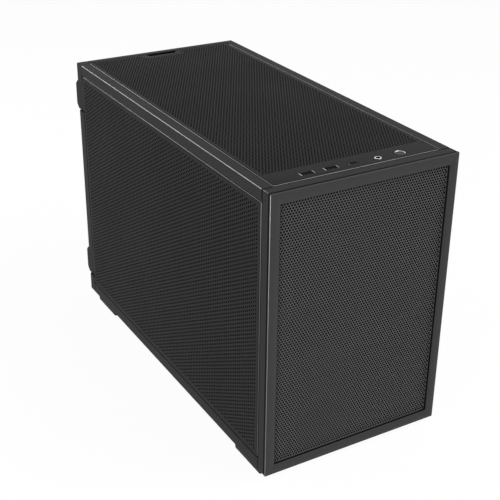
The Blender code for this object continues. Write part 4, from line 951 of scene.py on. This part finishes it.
# The sides' holes are drawn at 3.8 mm, in upright columns, and their sheet deeper as well.
pitch, hole_radius, margin, deep_sheet = 0.0038, 0.00109, 0.0006, 0.0017
for name, side in (("left", -1), ("right", 1)):
    low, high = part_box(name + "_side_panel")
    pan_length, pan_height = rear_edge - low.y, high.z - low.z
    panel = pressed_pan(name + "_perforated_panel", pan_height, pan_length, high.x - low.x)
    half_height, half_length = pan_height / 2 - border, pan_length / 2 - border
    window = [(-half_height, -half_length), (half_height, -half_length),
              (half_height, half_length), (-half_height, half_length)]
    hollow = bmesh.new()
    prism(hollow, window, -reach, reach)
    cut(panel, hollow)
    smoothed(panel, 30)
    field = perforated(name + "_field", window, pitch, hole_radius, margin, deep_sheet, panel_coat)
    field.data.transform(Matrix.Translation((0.0, 0.0, -deep_sheet)))
    joined(panel, field)
    face = low.x if side < 0 else high.x
    # Lying flat, the pan's X runs down the panel on the left and up it on the right.
    panel.data.transform(Matrix(((0, 0, side, face), (0, 1, 0, (low.y + rear_edge) / 2),
                                 (-side, 0, 0, (low.z + high.z) / 2), (0, 0, 0, 1))))
    root, shoulder = rear_edge - overlap, high.y - slant
    for z in tab_heights:
        tab = [(root, z - tab_half), (shoulder, z - tab_half), (high.y, z - tip_half),
               (high.y, z + tip_half), (shoulder, z + tab_half), (root, z + tab_half)]
        form = bmesh.new()
        prism(form, tab, *sorted((side * tab_inner, side * tab_outer)))
        form.transform(Matrix(((0, 0, 1, 0), (1, 0, 0, 0), (0, 1, 0, 0), (0, 0, 0, 1))))
        tongue = link("tab", form)
        tongue.data.materials.append(panel_coat)
        joined(panel, tongue)
    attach(panel, name + "_panel")
    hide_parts(name + "_side_panel")


# Light and ground: a pale floor under soft lamps, in a room that photographs white. Camera,
# mirror and glass rays see white, and the floor keeps a faint shadow.
def white_to_the_lens(tree):
    """Is 1 for rays from the camera, a mirror or glass, and 0 for those that light the case."""
    ray = add(tree, "ShaderNodeLightPath").outputs
    seen = add(tree, "ShaderNodeMath", {0: ray["Is Camera Ray"], 1: ray["Is Glossy Ray"]},
               operation="MAXIMUM").outputs[0]
    return add(tree, "ShaderNodeMath", {0: seen, 1: ray["Is Transmission Ray"]}, operation="MAXIMUM").outputs[0]


floor_paper = bpy.data.materials.new("pale floor paper")
floor_paper.use_nodes = True
tree = floor_paper.node_tree
tree.nodes.remove(tree.nodes["Principled BSDF"])
# Under the case itself the paper is painted dark, a painted shadow, so that it doesn't glow up through the
# vents.
shade_width, shade_length, fade = 0.066, 0.166, 0.012
place = add(tree, "ShaderNodeTexCoord").outputs["Object"]
place = add(tree, "ShaderNodeVectorMath", {0: place}, operation="ABSOLUTE").outputs[0]
place = add(tree, "ShaderNodeSeparateXYZ", {0: place}).outputs
aside = add(tree, "ShaderNodeMath", {0: place[0], 1: shade_width}, operation="SUBTRACT").outputs[0]
along = add(tree, "ShaderNodeMath", {0: place[1], 1: shade_length}, operation="SUBTRACT").outputs[0]
clear = add(tree, "ShaderNodeMath", {0: aside, 1: along}, operation="MAXIMUM").outputs[0]
clear = add(tree, "ShaderNodeMapRange", {"Value": clear, "From Min": 0.0, "From Max": fade,
                                         "To Min": 0.0, "To Max": 0.95}).outputs[0]
share = add(tree, "ShaderNodeMath", {0: white_to_the_lens(tree), 1: clear}, operation="MULTIPLY").outputs[0]
shade = add(tree, "ShaderNodeMix", {0: clear, 6: linear("#1C1C1C"), 7: linear("#FFFFFF")}, data_type="RGBA")
paper = add(tree, "ShaderNodeBsdfDiffuse", {"Color": shade.outputs[2]}).outputs[0]
lit = add(tree, "ShaderNodeEmission", {"Color": linear("#FFFFFF"), "Strength": 1.0}).outputs[0]
mixed = add(tree, "ShaderNodeMixShader", {0: share, 1: paper, 2: lit}).outputs[0]
tree.links.new(mixed, tree.nodes["Material Output"].inputs["Surface"])
form = bmesh.new()
bmesh.ops.create_grid(form, x_segments=1, y_segments=1, size=3.0)
floor = link("floor", form)
floor.data.materials.append(floor_paper)

world = bpy.data.worlds.new("studio")
scene.world = world
world.use_nodes = True
tree = world.node_tree
strength = add(tree, "ShaderNodeMapRange", {"Value": white_to_the_lens(tree), "To Min": 0.50,
                                            "To Max": 1.0})
room = tree.nodes["Background"]
room.inputs["Color"].default_value = linear("#FFFFFF")
tree.links.new(strength.outputs[0], room.inputs["Strength"])

target = Vector((0.0, 0.0, 0.14))
for name, direction, distance, size, power in (
        ("left strip", (-0.80, -0.60, 0.06), 1.1, (0.25, 0.9), 8.0),
        ("rear left strip", (-0.449, 0.771, 0.452), 1.3, (0.9, 0.25), 4.0),
        ("front softbox", (0.452, -0.449, 0.771), 1.4, (0.8, 0.8), 12.0)):
    lamp = bpy.data.objects.new(name, bpy.data.lights.new(name, "AREA"))
    lamp.data.shape = "RECTANGLE"
    lamp.data.size, lamp.data.size_y = size
    lamp.data.energy = power
    lamp.location = target + Vector(direction).normalized() * distance
    lamp.rotation_euler = (target - lamp.location).to_track_quat("-Z", "Y").to_euler()
    scene.collection.objects.link(lamp)
